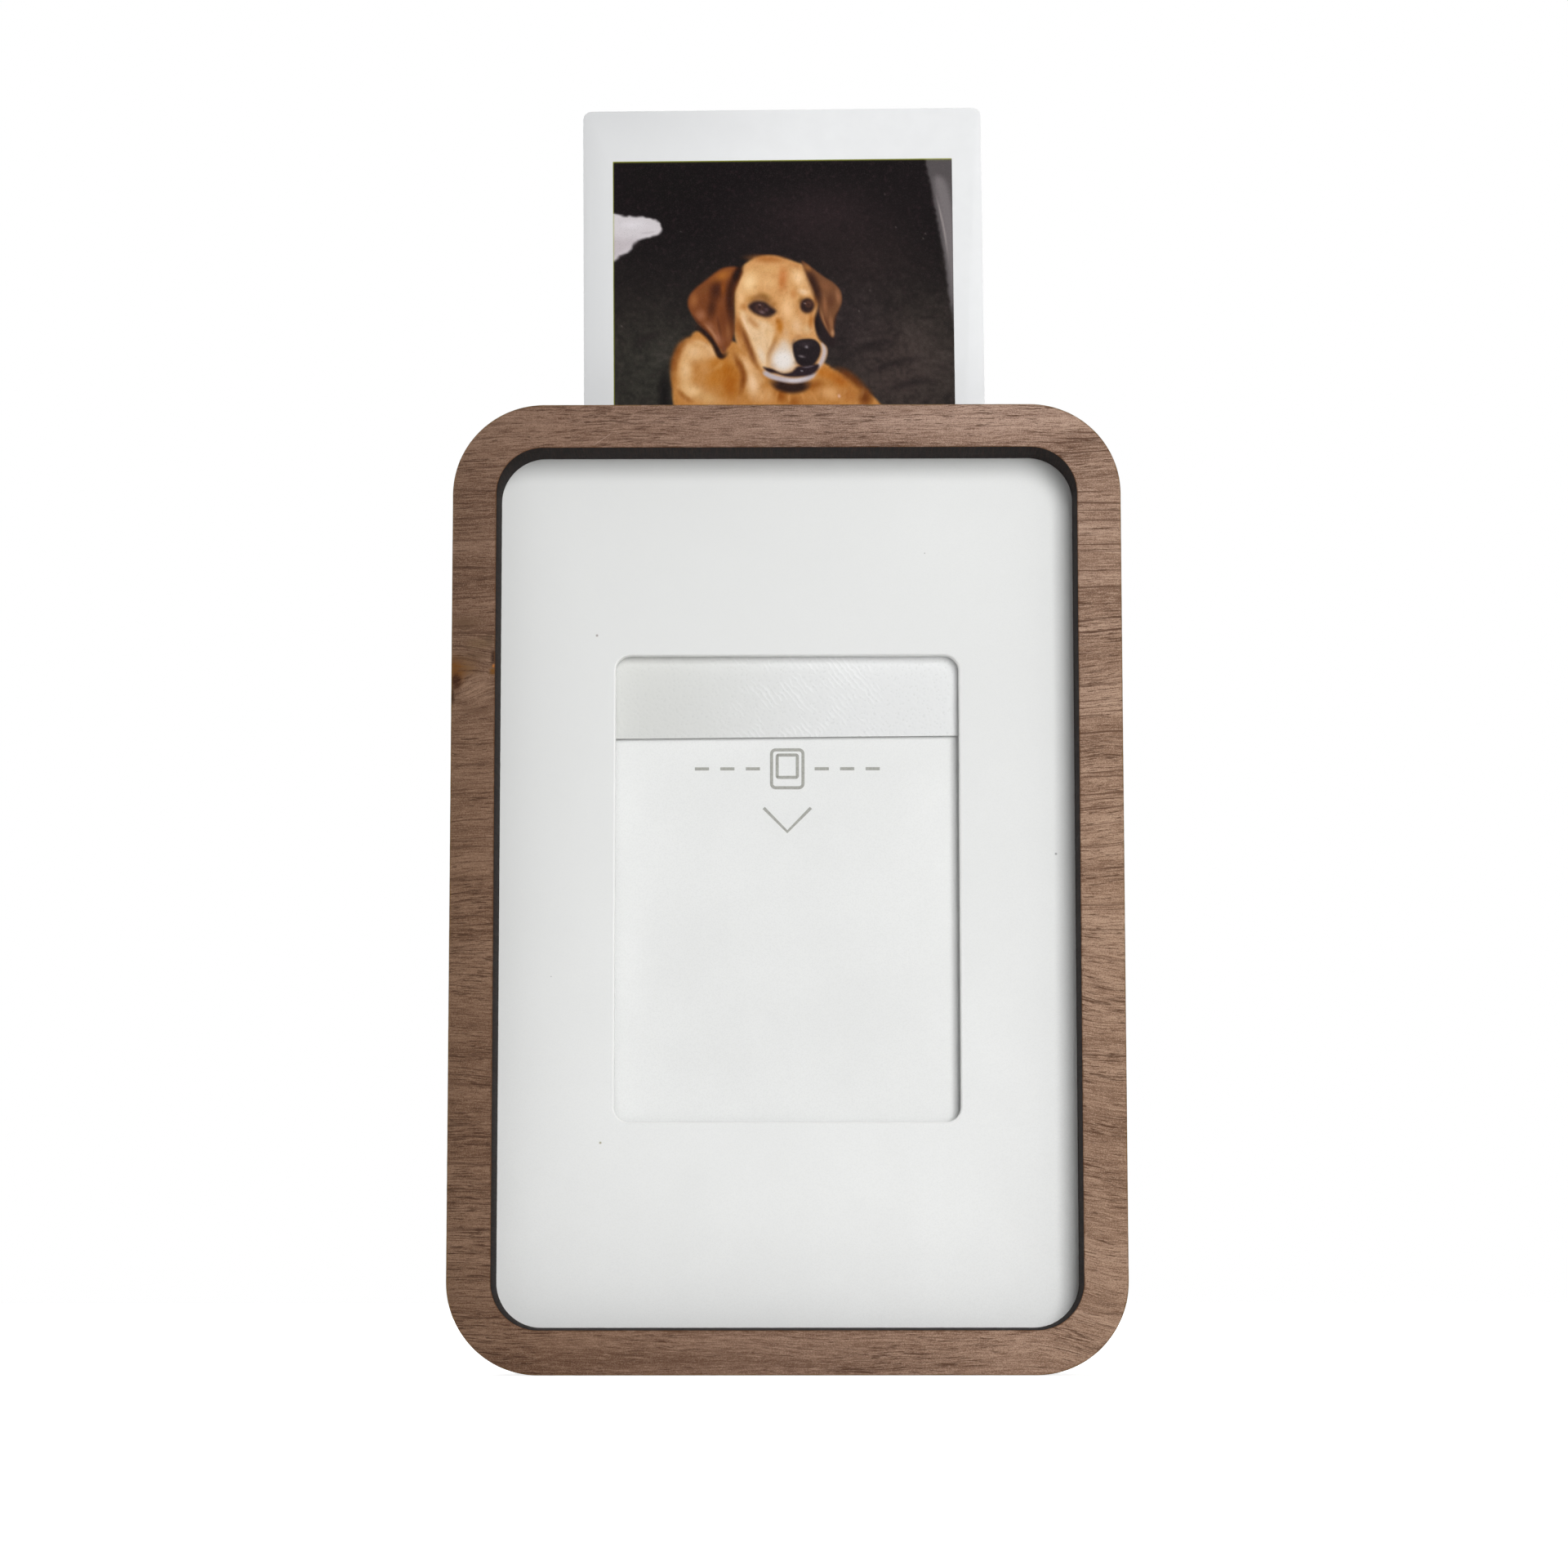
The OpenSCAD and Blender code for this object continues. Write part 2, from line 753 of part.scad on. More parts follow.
module latch_lever() {
    color("lightgray")
        difference() {
            union() {
                bar(latch_low_x, latch_low_x + latch_arm_w)
                    polygon([
                        [hook_tip, hook_z],
                        [latch_back, hook_z],
                        [latch_back, pin_z],
                        [latch_front, pin_z],
                        [latch_front, hook_z + hook_h],
                        [hook_tip, hook_z + tooth_flat]
                    ]);
                block(
                    latch_high_x - latch_arm_w, pin_z,
                    latch_arm_w, button_arm + push_over, latch_front, latch_back
                );
                cross_peg(latch_low_x, latch_high_x, pin_depth, pin_z, 2 * latch_hub_r);
            }
            cross_peg(latch_low_x - cut, latch_high_x + cut, pin_depth, pin_z, pin_d + 2 * run_play);
        }
}

module release_button() {
    flange_back = cover_front - flange_gap;
    nose_centre = latch_back + nose_gap + nose_r;
    color("white") {
        peg(push_x, button_z, button_d, flange_back - flange_t, cover_back + button_travel + button_rest);
        peg(push_x, button_z, button_d + 2 * flange_rim, flange_back - flange_t, flange_back);
        peg(push_x, button_z, 2 * nose_r, nose_centre, flange_back);
        translate([push_x, front_y + nose_centre, button_z]) sphere(nose_r);
    }
}

front_ring();
ring_tape();
front_shell();
lift_chassis();
chassis_screws();
guide_rod(-1);  // guide_rod_left
guide_rod(1);  // guide_rod_right
lift_spring(-1);  // lift_spring_left
lift_spring(1);  // lift_spring_right
stop_washers();
rear_cover();
cover_screws();
latch_pin();
latch_spring();
lift_carrier();
thumb_tab();
tab_screw();
print_back_sheet();
print_border();
print_picture();
latch_lever();
release_button();
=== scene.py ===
"""Looks of the pop-up photo frame, in metres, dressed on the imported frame's own nodes and bodies.

The frame stands on the floor at z 0 and faces -Y. A walnut ring sits on a white box, and an instant
print stands out of the slot in its top.
"""
from math import cos, pi, radians, sin

import bmesh
import bpy
import numpy as np
from mathutils import Matrix, Vector


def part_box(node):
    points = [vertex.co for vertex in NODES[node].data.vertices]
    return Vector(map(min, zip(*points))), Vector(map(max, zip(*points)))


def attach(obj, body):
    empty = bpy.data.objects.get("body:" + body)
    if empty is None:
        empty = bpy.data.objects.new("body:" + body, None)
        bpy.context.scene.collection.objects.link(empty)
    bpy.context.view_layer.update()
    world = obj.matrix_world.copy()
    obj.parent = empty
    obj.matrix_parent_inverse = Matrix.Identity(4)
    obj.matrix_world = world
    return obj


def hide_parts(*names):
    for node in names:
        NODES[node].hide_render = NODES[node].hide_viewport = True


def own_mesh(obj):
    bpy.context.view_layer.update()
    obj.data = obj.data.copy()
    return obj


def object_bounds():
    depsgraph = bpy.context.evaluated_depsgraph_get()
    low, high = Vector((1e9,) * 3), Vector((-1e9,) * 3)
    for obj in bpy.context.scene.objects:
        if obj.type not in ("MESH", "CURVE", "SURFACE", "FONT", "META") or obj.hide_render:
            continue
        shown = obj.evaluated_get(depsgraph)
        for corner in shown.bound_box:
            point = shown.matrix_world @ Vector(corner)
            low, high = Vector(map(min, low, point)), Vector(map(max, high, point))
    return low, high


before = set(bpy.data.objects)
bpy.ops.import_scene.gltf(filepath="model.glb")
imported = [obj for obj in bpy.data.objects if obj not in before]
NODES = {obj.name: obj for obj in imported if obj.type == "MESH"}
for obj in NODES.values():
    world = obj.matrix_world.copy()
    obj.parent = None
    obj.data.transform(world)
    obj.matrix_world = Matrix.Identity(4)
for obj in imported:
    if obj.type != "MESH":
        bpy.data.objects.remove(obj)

CAD_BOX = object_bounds()
MM = 0.001

# ---------------------------------------------------------------------------------------------
# Sizes that the frame's boxes don't give
# ---------------------------------------------------------------------------------------------

# Walnut ring: rail, outer corner, rounding of its edges, how much its opening narrows towards the
# back, waviness of the cut and its cells to the metre, steps of an edge's rounding and of a corner,
# and the step along its straight sides
RAIL_W = 5.8 * MM
CORNER_R = 12 * MM
RING_EDGE = 0.09 * MM
CUT_TAPER = 0.3 * MM
CUT_WOBBLE = 0.03 * MM
WOBBLE_CELLS = 900.0
EDGE_STEPS = 3
CORNER_STEPS = 28
STRAIGHT_STEP = 0.6 * MM

# Ink guide marks on the white panel: places across and up in millimetres, stroke and thickness
CHEVRON_POINTS = ((-3.15, 74.8), (0, 71.6), (3.15, 74.8))
CARD_BOX = (-2.1, 77.5, 2.1, 82.6)
CARD_PICTURE_BOX = (-1.35, 78.9, 1.35, 81.9)
CARD_CORNER = 0.55
PICTURE_CORNER = 0.2
MARK_STEPS = 5
DASH_PLACES = (4.6, 8.0, 11.4)
DASH_W = 1.9
DASH_Z = 80.05
INK_STROKE = 0.42 * MM
INK_T = 0.02 * MM

# Springs: wire and outer diameters, turns, closed turns at each end, points to a turn, the share of
# its length that each keeps when it is squashed, and the points round the wire
LIFT_WIRE = 0.2 * MM
LIFT_COIL = 5 * MM
LIFT_TURNS = 22
LIFT_CLOSED = 1.2
LIFT_STEPS = 28
RETURN_WIRE = 0.3 * MM
RETURN_COIL = 3 * MM
RETURN_TURNS = 3
RETURN_CLOSED = 0.5
RETURN_STEPS = 32
WIRE_SIDES = 8

# Screws of each node: body that they ride on, head diameter and height, and thread diameter
SCREWS = (
    ("cover_screws", "housing", 4.6 * MM, 1.5 * MM, 2.5 * MM),
    ("chassis_screws", "housing", 3.8 * MM, 1.2 * MM, 2.0 * MM),
    ("tab_screw", "carrier", 3.8 * MM, 1.2 * MM, 2.0 * MM),
)
# Head of a screw, in shares of its height: its dome, the lower end of its side, and its bevel
HEAD_DOME, HEAD_SIDE, HEAD_BEVEL = 0.28, 0.86, 0.14
# Shank, in shares of the thread's diameter and of the shank's length: its neck, how far the thread
# reaches, and the places of its point
SHANK_NECK, THREAD_REACH = 0.42, 0.86
SHANK_POINT = ((0.36, 0.88), (0.12, 1), (0, 1))
# Crests to the millimetre, and one of them: shares of the thread's diameter, and of the pitch
CRESTS_PER_MM = 1.6
THREAD_SHAPE = ((0.4, 0.2), (0.5, 0.55), (0.4, 0.9))
# A bar of the cross recess: its length, depth and width as shares of the head's diameter, height and
# diameter, and the share of its length and width that is left at its bottom
RECESS_BAR = (0.62, 1.2, 0.16)
RECESS_BOTTOM = 0.6
# Steps round a screw, and how close its points are merged
SCREW_STEPS = 32
SCREW_MERGE = 0.001 * MM

# CAD meshes: points this close are merged, faces this level are made one, and edges sharper than
# this are rounded, the last two in degrees
MERGE_WITHIN = 0.0005 * MM
LEVEL_WITHIN = 0.5
SHARP_FROM = 40

# Print: steps of the picture's mesh in the part that shows and below it, in millimetres
PICTURE_STEP = 0.16
PICTURE_COARSE = 0.32
PICTURE_SEEN = 34
# The film's gloss lifts its darks, so the colours go on a little deeper
DEEPER_SCALE, DEEPER_STEP = 1.03, 9


# ---------------------------------------------------------------------------------------------
# Node trees
# ---------------------------------------------------------------------------------------------

def linear(tones):
    """Colours as a screen shows them, 0 to 255, in the linear values that shaders take."""
    share = np.array(tones) / 255
    return np.where(share <= 0.04045, share / 12.92, ((share + 0.055) / 1.055) ** 2.4)


def srgb(*tone):
    return (*(float(part) for part in linear(tone)), 1.0)


class Value:
    """An output of a node. Arithmetic with it, and the steps below, add nodes to its tree."""

    def __init__(self, tree, socket):
        self.tree, self.socket = tree, socket

    def step(self, operation, *others):
        return maths(self.tree, operation, self, *others)

    def __add__(self, other):
        return self.step("ADD", other)

    def __sub__(self, other):
        return self.step("SUBTRACT", other)

    def __rsub__(self, other):
        return maths(self.tree, "SUBTRACT", other, self)

    def __mul__(self, other):
        return self.step("MULTIPLY", other)

    def __abs__(self):
        return self.step("ABSOLUTE")

    def highest(self, other):
        return self.step("MAXIMUM", other)

    def lowest(self, other):
        return self.step("MINIMUM", other)

    def smooth(self, low, high):
        """0 below low and 1 above high, smoothly between. A low above high turns it round."""
        return add(self.tree, "ShaderNodeMapRange", {"interpolation_type": "SMOOTHSTEP"},
                   value=self, from_min=low, from_max=high)

    def apart(self):
        """A vector's three parts."""
        made = add(self.tree, "ShaderNodeSeparateXYZ", vector=self).socket.node
        return [Value(self.tree, part) for part in made.outputs]

    def length(self):
        return add(self.tree, "ShaderNodeVectorMath", {"operation": "LENGTH"}, output="Value", vector=self)

    def scaled(self, scale):
        return add(self.tree, "ShaderNodeVectorMath", {"operation": "SCALE"}, vector=self, scale=scale)

    def noise(self, cells, detail=3, roughness=0.5, shift=0):
        """Noise over a place, with a number of cells to its unit, or one for each direction."""
        scale = cells if isinstance(cells, tuple) else (cells, cells, cells)
        vector = add(self.tree, "ShaderNodeMapping", vector=self, scale=scale, location=(shift, shift, shift))
        return add(self.tree, "ShaderNodeTexNoise", vector=vector, scale=1, detail=detail, roughness=roughness)

    def ramp(self, *stops):
        """A colour ramp through stops of place and tone."""
        made = add(self.tree, "ShaderNodeValToRGB", fac=self)
        points = made.socket.node.color_ramp.elements
        while len(points) < len(stops):
            points.new(0.5)
        for point, (place, tone) in zip(points, stops):
            point.position = place
            point.color = colour_of(tone)
        return made


def colour_of(tone):
    """A tone of three parts as a screen shows it, or anything else as it is."""
    return srgb(*tone) if isinstance(tone, tuple) and len(tone) == 3 else tone


def plug(tree, socket, value):
    """Links an output to a socket, or sets the socket to a plain value."""
    if isinstance(value, Value):
        tree.links.new(value.socket, socket)
    else:
        socket.default_value = value


def add(tree, kind, settings=None, output=0, **inputs):
    """Adds a node and returns one of its outputs. An input's name is in lower case, with _ for a space."""
    made = tree.nodes.new(kind)
    for name, value in (settings or {}).items():
        setattr(made, name, value)
    for name, value in inputs.items():
        found = (s for s in made.inputs if s.enabled and s.name.lower().replace(" ", "_") == name)
        plug(tree, next(found), value)
    return Value(tree, made.outputs[output])


def maths(tree, operation, *values):
    """One step of arithmetic, as its output."""
    made = tree.nodes.new("ShaderNodeMath")
    made.operation = operation
    for socket, value in zip(made.inputs, values):
        plug(tree, socket, value)
    return Value(tree, made.outputs[0])


def mixed(share, first, second, way="MIX"):
    """The colour between two others, as an output."""
    tree = next(value.tree for value in (share, first, second) if isinstance(value, Value))
    made = tree.nodes.new("ShaderNodeMix")
    made.data_type = "RGBA"
    made.blend_type = way
    for socket, value in zip((made.inputs[0], made.inputs[6], made.inputs[7]), (share, first, second)):
        plug(tree, socket, colour_of(value))
    return Value(tree, made.outputs[2])


class Finish:
    """A material with one shader, and the place on the object, in millimetres, for its patterns."""

    def __init__(self, name, tone, roughness, specular=0.5, metallic=0.0):
        self.material = bpy.data.materials.new(name)
        self.material.use_nodes = True
        self.tree = self.material.node_tree
        self.inputs = self.tree.nodes["Principled BSDF"].inputs
        self.set("Base Color", srgb(*tone))
        self.set("Roughness", roughness)
        self.set("Specular IOR Level", specular)
        self.set("Metallic", metallic)
        self.place = add(self.tree, "ShaderNodeTexCoord", output="Object").scaled(1 / MM)
        self.x, _, self.z = self.place.apart()

    def set(self, name, value):
        plug(self.tree, self.inputs[name], value)

    def bump(self, height, distance, strength=1.0):
        """Raises the surface by the height times the distance."""
        self.set("Normal", add(self.tree, "ShaderNodeBump", strength=strength, distance=distance, height=height))

    def close_to(self, centre, reach):
        """1 at a point and 0 past its reach, each given across and up, in millimetres."""
        across, up = 1 / reach[0], 1 / reach[1]
        moved = add(self.tree, "ShaderNodeMapping", vector=self.place, scale=(across, 0, up),
                    location=(-centre[0] * across, 0, -centre[1] * up))
        return moved.length().smooth(1.0, 0.0)

    def facing(self):
        """How much the surface faces the front or the back, from 0 to 1."""
        return abs(add(self.tree, "ShaderNodeNewGeometry", output="Normal").apart()[1])


def linked(name, data):
    """A new object in the scene."""
    made = bpy.data.objects.new(name, data)
    bpy.context.scene.collection.objects.link(made)
    return made


# ---------------------------------------------------------------------------------------------
# Camera, floor and lamps
# ---------------------------------------------------------------------------------------------

# The lens and the place were fitted to the edges of the ring, window and print
LENS_MM = 97.36
SENSOR_MM = 36.0
CAMERA_PLACE = (3.79 * MM, -565.4 * MM, 10.05 * MM)
CAMERA_TURN = (96.91, 0.036, 0.4355)

# Soft lamps: place, width and height, and power. All face the middle of the object
LAMPS = {
    "key_softbox": ((0.37, -1.28, 0.33), (0.5, 0.84), 15.9),
    "top_softbox": ((0.1, 0.25, 1.2), (0.5, 0.5), 2.4),
    "rear_softbox": ((-0.35, 1.2, 0.5), (0.8, 0.8), 9.0),
    "right_softbox": ((1.15, 0.4, 0.35), (0.5, 0.6), 5.0),
    "left_softbox": ((-1.15, 0.4, 0.35), (0.5, 0.6), 3.5),
}
AMBIENT = 0.1

# Floor: half its side in metres, its glow to the camera close by and what that gains further out,
# and from where to where it gains, in millimetres
FLOOR_HALF = 6.0
GLOW_NEAR, GLOW_GAIN = 0.72, 0.28
GLOW_REACH = (120, 600)


def place_camera():
    bpy.context.scene.view_settings.view_transform = "Standard"
    camera = linked("camera", bpy.data.cameras.new("camera"))
    camera.data.lens = LENS_MM
    camera.data.sensor_width = SENSOR_MM
    camera.data.clip_start = 0.01
    camera.location = CAMERA_PLACE
    camera.rotation_euler = [radians(angle) for angle in CAMERA_TURN]
    bpy.context.scene.camera = camera


def place_lamps():
    low, high = CAD_BOX
    middle = (low + high) / 2
    for name, (place, (width, height), power) in LAMPS.items():
        lamp = linked(name, bpy.data.lights.new(name, "AREA"))
        lamp.data.shape = "RECTANGLE"
        lamp.data.size = width
        lamp.data.size_y = height
        lamp.data.energy = power
        lamp.location = place
        lamp.rotation_euler = (middle - Vector(place)).to_track_quat("-Z", "Y").to_euler()
        lamp.visible_glossy = name != "key_softbox"


def seen_directly(tree):
    """1 for what the camera, a mirror or glass looks at, and 0 for light on other surfaces."""
    path = add(tree, "ShaderNodeLightPath").socket.node.outputs
    camera, glossy, through = (Value(tree, path["Is %s Ray" % way]) for way in ("Camera", "Glossy", "Transmission"))
    return camera.highest(glossy.highest(through))


def light_the_world():
    world = bpy.data.worlds.new("studio")
    world.use_nodes = True
    tree = world.node_tree
    plug(tree, tree.nodes["Background"].inputs["Color"], (1, 1, 1, 1))
    plug(tree, tree.nodes["Background"].inputs["Strength"], seen_directly(tree) * (1.0 - AMBIENT) + AMBIENT)
    bpy.context.scene.world = world


def lay_floor():
    """A pale floor that the camera sees as white, and darker where the object shades it."""
    corners = [(x * FLOOR_HALF, y * FLOOR_HALF, 0) for x, y in ((-1, -1), (1, -1), (1, 1), (-1, 1))]
    mesh = bpy.data.meshes.new("floor")
    mesh.from_pydata(corners, [], [(0, 1, 2, 3)])
    floor = linked("floor", mesh)
    paint = Finish("floor_paint", (212, 212, 211), 0.9)
    patches = paint.place.noise(0.003, detail=2)
    paint.set("Base Color", patches.ramp((0.3, (210, 210, 209)), (0.7, (214, 214, 213))))
    paint.set("Emission Color", (1, 1, 1, 1))
    glow = paint.place.length().smooth(*GLOW_REACH) * GLOW_GAIN + GLOW_NEAR
    paint.set("Emission Strength", seen_directly(paint.tree) * glow)
    mesh.materials.append(paint.material)


# ---------------------------------------------------------------------------------------------
# Wood
# ---------------------------------------------------------------------------------------------

# Parts of the ring that have their own look, from none of it to all of it, in millimetres
LOW_RIGHT_X, LOW_RIGHT_Z = (30.0, 44.0), (62.0, 50.0)
UPPER_RIGHT_X, UPPER_RIGHT_Z = (20.0, 36.0), (48.0, 70.0)
LEFT_X = (-28.0, -38.0)

# How far the grain drifts, ripples and falls at the low right, in millimetres
GRAIN_DRIFT, GRAIN_RIPPLE, GRAIN_FALL = 5.0, 0.35, 2.2
# Pores: the level of the noise under which there is one, what it gains where they lie thick, and how
# softly they end
PORE_LEVEL, PORE_GAIN, PORE_EDGE = 0.355, 0.075, (0.022, -0.03)
# How much the long lines show everywhere, and what they gain in the upper right and on the left rail
LINES_SHOW, LINES_UPPER_RIGHT, LINES_LEFT = 0.2, 0.65, 0.35
# Burnt lines: how much their width varies and what is taken off it, and for the outer and the inner
# edge how softly the line ends, how much it shows and its colour
BURN_SPREAD, BURN_LESS = 0.4, 0.06
OUTER_BURN = ((0.1, -0.1), 0.6, (112, 86, 44))
INNER_BURN = ((0.1, -0.12), 0.75, (84, 54, 30))

# What the wood's colour is multiplied by, at shares of the ring's width and height. Across the width
# this is partly the wood's own tone and partly painted shade, darkest at the left
SIDE_TONES_AND_SHADE = (
    (0.0, (0.56, 0.51, 0.455, 1)), (0.16, (0.67, 0.61, 0.56, 1)), (0.5, (0.86, 0.83, 0.82, 1)),
    (0.84, (1.1, 1.1, 1.1, 1)), (1.0, (1.04, 1.03, 0.99, 1)),
)
FOOT_TONES = ((0.0, (0.98, 0.95, 0.89, 1)), (0.5, (1.0, 0.97, 0.9, 1)), (1.0, (1, 1, 1, 1)))

# The knot on the left rail, in millimetres across and up: how far the grain bends round it, and its
# spots with their reach, colour and strength. It is scorched at the outer edge, tan beside it, and
# has a small dark end at the inner edge
KNOT_MIDDLE = (-43.9, 91.0)
KNOT_REACH = (7.5, 6.5)
KNOT_BEND = 0.8
KNOT = (
    ((-42.6, 98.4), (3.4, 1.4), (92, 70, 52), 0.6), ((-40.6, 95.6), (3, 1.2), (112, 88, 66), 0.7),
    ((-41.2, 94), (3.2, 1.1), (88, 66, 48), 0.6), ((-40.9, 89.6), (3, 3), (140, 112, 92), 0.8),
    ((-42.4, 92.4), (2.6, 2), (110, 80, 52), 0.8), ((-43.9, 91.8), (2.2, 3), (104, 66, 30), 1.4),
    ((-43.6, 90.6), (1.1, 1.5), (52, 27, 12), 1.7), ((-44.3, 88.6), (0.8, 1.9), (52, 33, 18), 1.6),
    ((-40.8, 86.6), (3, 0.9), (88, 64, 48), 0.5), ((-38.5, 93.8), (0.8, 1.4), (52, 34, 24), 1.3),
    ((-38.5, 92.6), (0.42, 0.42), (178, 112, 58), 1.4), ((-38.7, 91.9), (0.7, 0.8), (112, 74, 32), 1),
    ((-39.2, 96.2), (0.9, 1.2), (84, 66, 50), 0.5),
)

# A light scratch on the top rail: its angle, its middle, its half width and half length where it
# begins to fade and where it ends, and how much it shows
SCRATCH_ANGLE = 34
SCRATCH_MIDDLE = (-24.4, 122.95)
SCRATCH_SIDE = (0.1, 0.03)
SCRATCH_END = (1.7, 1.0)
SCRATCH_SHARE = 0.45


def bent_grain(skin):
    """The place with nearly level grain that wavers, falls at the low right and bends round the knot."""
    drift = skin.place.noise((0.028, 0.05, 0.034), detail=2)
    ripple = skin.place.noise((0.22, 0.1, 0.5), detail=2)
    low_right = skin.x.smooth(*LOW_RIGHT_X) * skin.z.smooth(*LOW_RIGHT_Z)
    lift = drift * GRAIN_DRIFT + ripple * GRAIN_RIPPLE + low_right * GRAIN_FALL
    bend = skin.close_to(KNOT_MIDDLE, KNOT_REACH) * ((skin.z - KNOT_MIDDLE[1]) * KNOT_BEND)
    x, y, z = skin.place.apart()
    return add(skin.tree, "ShaderNodeCombineXYZ", x=x, y=y, z=z + (lift - bend))


def grain_colour(grain, fibres, fuzz):
    """Broad bands, fine fibres and fuzz, each darker and lighter than the wood's middle tone."""
    bands = grain.noise((0.014, 0.05, 0.28), roughness=0.55)
    wood = bands.ramp((0.34, (124, 98, 83)), (0.5, (153, 126, 110)), (0.64, (170, 143, 127)))
    for pattern, end, share, tone in (
        (fibres, (0.52, 0.34), 0.84, (106, 79, 65)), (fibres, (0.52, 0.68), 0.74, (184, 157, 140)),
        (fuzz, (0.5, 0.34), 0.65, (114, 87, 71)), (fuzz, (0.5, 0.68), 0.6, (186, 159, 143)),
    ):
        wood = mixed(pattern.smooth(*end) * share, wood, tone)
    return wood


def short_pores(grain):
    """Where short dark pores lie, thicker in some parts than in others."""
    pores = grain.noise((0.42, 1.2, 7.0), roughness=0.64, shift=7)
    dense = grain.noise((0.05, 0.1, 0.2), detail=2, shift=3)
    level = dense.smooth(0.38, 0.62) * PORE_GAIN + PORE_LEVEL
    return (pores - level).smooth(*PORE_EDGE)


def long_lines(skin, grain):
    """Where long dark lines lie, most often in the upper right and on the left rail."""
    lines = grain.noise((0.035, 0.4, 3.0), roughness=0.6, shift=11)
    upper_right = skin.x.smooth(*UPPER_RIGHT_X) * skin.z.smooth(*UPPER_RIGHT_Z)
    often = upper_right * LINES_UPPER_RIGHT + LINES_SHOW + skin.x.smooth(*LEFT_X) * LINES_LEFT
    return lines.smooth(0.43, 0.36) * often


def board_tones_and_shade(skin, wood, size):
    """The board is darkest at the left, partly in its own tone and partly as painted shade, and browner
    towards the foot.
    """
    # Partly painted shade: the wood is painted darker towards the left and lighter towards the right
    side_tone_and_shade = (skin.x * (MM / size.x) + 0.5).ramp(*SIDE_TONES_AND_SHADE)
    foot_tone = (skin.z * (MM / size.z)).ramp(*FOOT_TONES)
    return mixed(1.0, mixed(1.0, wood, side_tone_and_shade, "MULTIPLY"), foot_tone, "MULTIPLY")


def scratch(skin):
    angle = radians(SCRATCH_ANGLE)
    x, _, z = add(skin.tree, "ShaderNodeMapping", vector=skin.place, rotation=(0, angle, 0)).apart()
    middle = Matrix.Rotation(angle, 3, "Y") @ Vector((SCRATCH_MIDDLE[0], 0, SCRATCH_MIDDLE[1]))
    across, along = abs(z - middle.z).smooth(*SCRATCH_SIDE), abs(x - middle.x).smooth(*SCRATCH_END)
    return across * along * SCRATCH_SHARE


def from_outer_edge(skin, low, high):
    """How far a point lies inside the ring's outline, in millimetres."""
    middle = (low + high) / 2 / MM
    inner = ((high - low) / 2 - Vector((CORNER_R, CORNER_R, CORNER_R))) / MM
    past_x, past_z = abs(skin.x - middle.x) - inner.x, abs(skin.z - middle.z) - inner.z
    beyond = [part.highest(0.0) for part in (past_x, past_z)]
    round_part = (beyond[0] * beyond[0] + beyond[1] * beyond[1]).step("SQRT")
    return CORNER_R / MM - (round_part + past_x.highest(past_z).lowest(0.0))


def burnt_edges(skin, wood, low, high):
    """The laser leaves a thin golden burnt line along both edges of the face."""
    inset = from_outer_edge(skin, low, high)
    from_inner = RAIL_W / MM - inset
    burn_width = skin.place.noise((0.9, 0.5, 0.9)) * BURN_SPREAD - BURN_LESS
    for depth, (ends, share, tone) in ((inset, OUTER_BURN), (from_inner, INNER_BURN)):
        wood = mixed((depth - burn_width).smooth(*ends) * share, wood, tone)
    return wood


def walnut():
    """Sanded walnut with the grain across the frame, and walls that a laser has burnt dark."""
    low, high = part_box("front_ring")
    skin = Finish("walnut", (150, 123, 108), 0.62, specular=0.2)
    grain = bent_grain(skin)
    fibres = grain.noise((0.42, 0.8, 7.4), roughness=0.66)
    fuzz = skin.place.noise((6.5, 6.5, 8.0), detail=2, roughness=0.75)
    pores = short_pores(grain)
    wood = mixed(pores * 0.85, grain_colour(grain, fibres, fuzz), (84, 60, 47))
    wood = mixed(long_lines(skin, grain), wood, (92, 68, 56))
    wood = board_tones_and_shade(skin, wood, high - low)
    # The fibres and the fuzz break up the knot's spots
    broken = ((fibres + fuzz) * 3.2 - 2.25).highest(0.1)
    for centre, reach, tone, strength in KNOT:
        share = skin.close_to(centre, reach) * (broken * strength)
        wood = mixed(share.lowest(1.0), wood, tone)
    wood = mixed(scratch(skin), wood, (178, 152, 136))
    wood = burnt_edges(skin, wood, low, high)

    wall = skin.facing().smooth(0.85, 0.5)
    kerf = skin.place.noise((4.0, 0.12, 4.0), roughness=0.6)
    char = kerf.ramp((0.3, (13, 7, 5)), (0.5, (22, 13, 10)), (0.72, (40, 25, 19)))
    skin.set("Base Color", mixed(wall, wood, char))
    skin.set("Roughness", (fibres * 0.2 + 0.52).highest(wall * 0.85))
    skin.bump(fibres * 0.5 - pores * 0.8 + wall * kerf * 2.0, 0.04 * MM, 0.7)
    return skin.material


# ---------------------------------------------------------------------------------------------
# Other finishes
# ---------------------------------------------------------------------------------------------

# Dust on the white front: places across and up in millimetres, radius and colour
DUST = (
    ((-25.35, 97.65), 0.26, (120, 105, 95)),
    ((35.6, 68.3), 0.24, (110, 110, 112)),
    ((-24.6, 30.2), 0.26, (140, 132, 80)),
    ((18.4, 108.7), 0.14, (150, 150, 150)),
    ((-31.2, 52.1), 0.12, (160, 158, 155)),
)

# The print's foot border: height of its pressed part, where that fades, in millimetres, the slope
# and spacing of its ridges, and where they show, as bumps and as painted glints
FOOT_EDGE = (17.4, 16.6)
RIDGE_SLOPE = (0.77, 0.64)
RIDGE_STEP = 0.66
RIDGES_AND_GLINTS_X = ((-13.0, 2.0), (17.0, 9.0))


def times(tone, share):
    return tuple(part * share for part in tone)


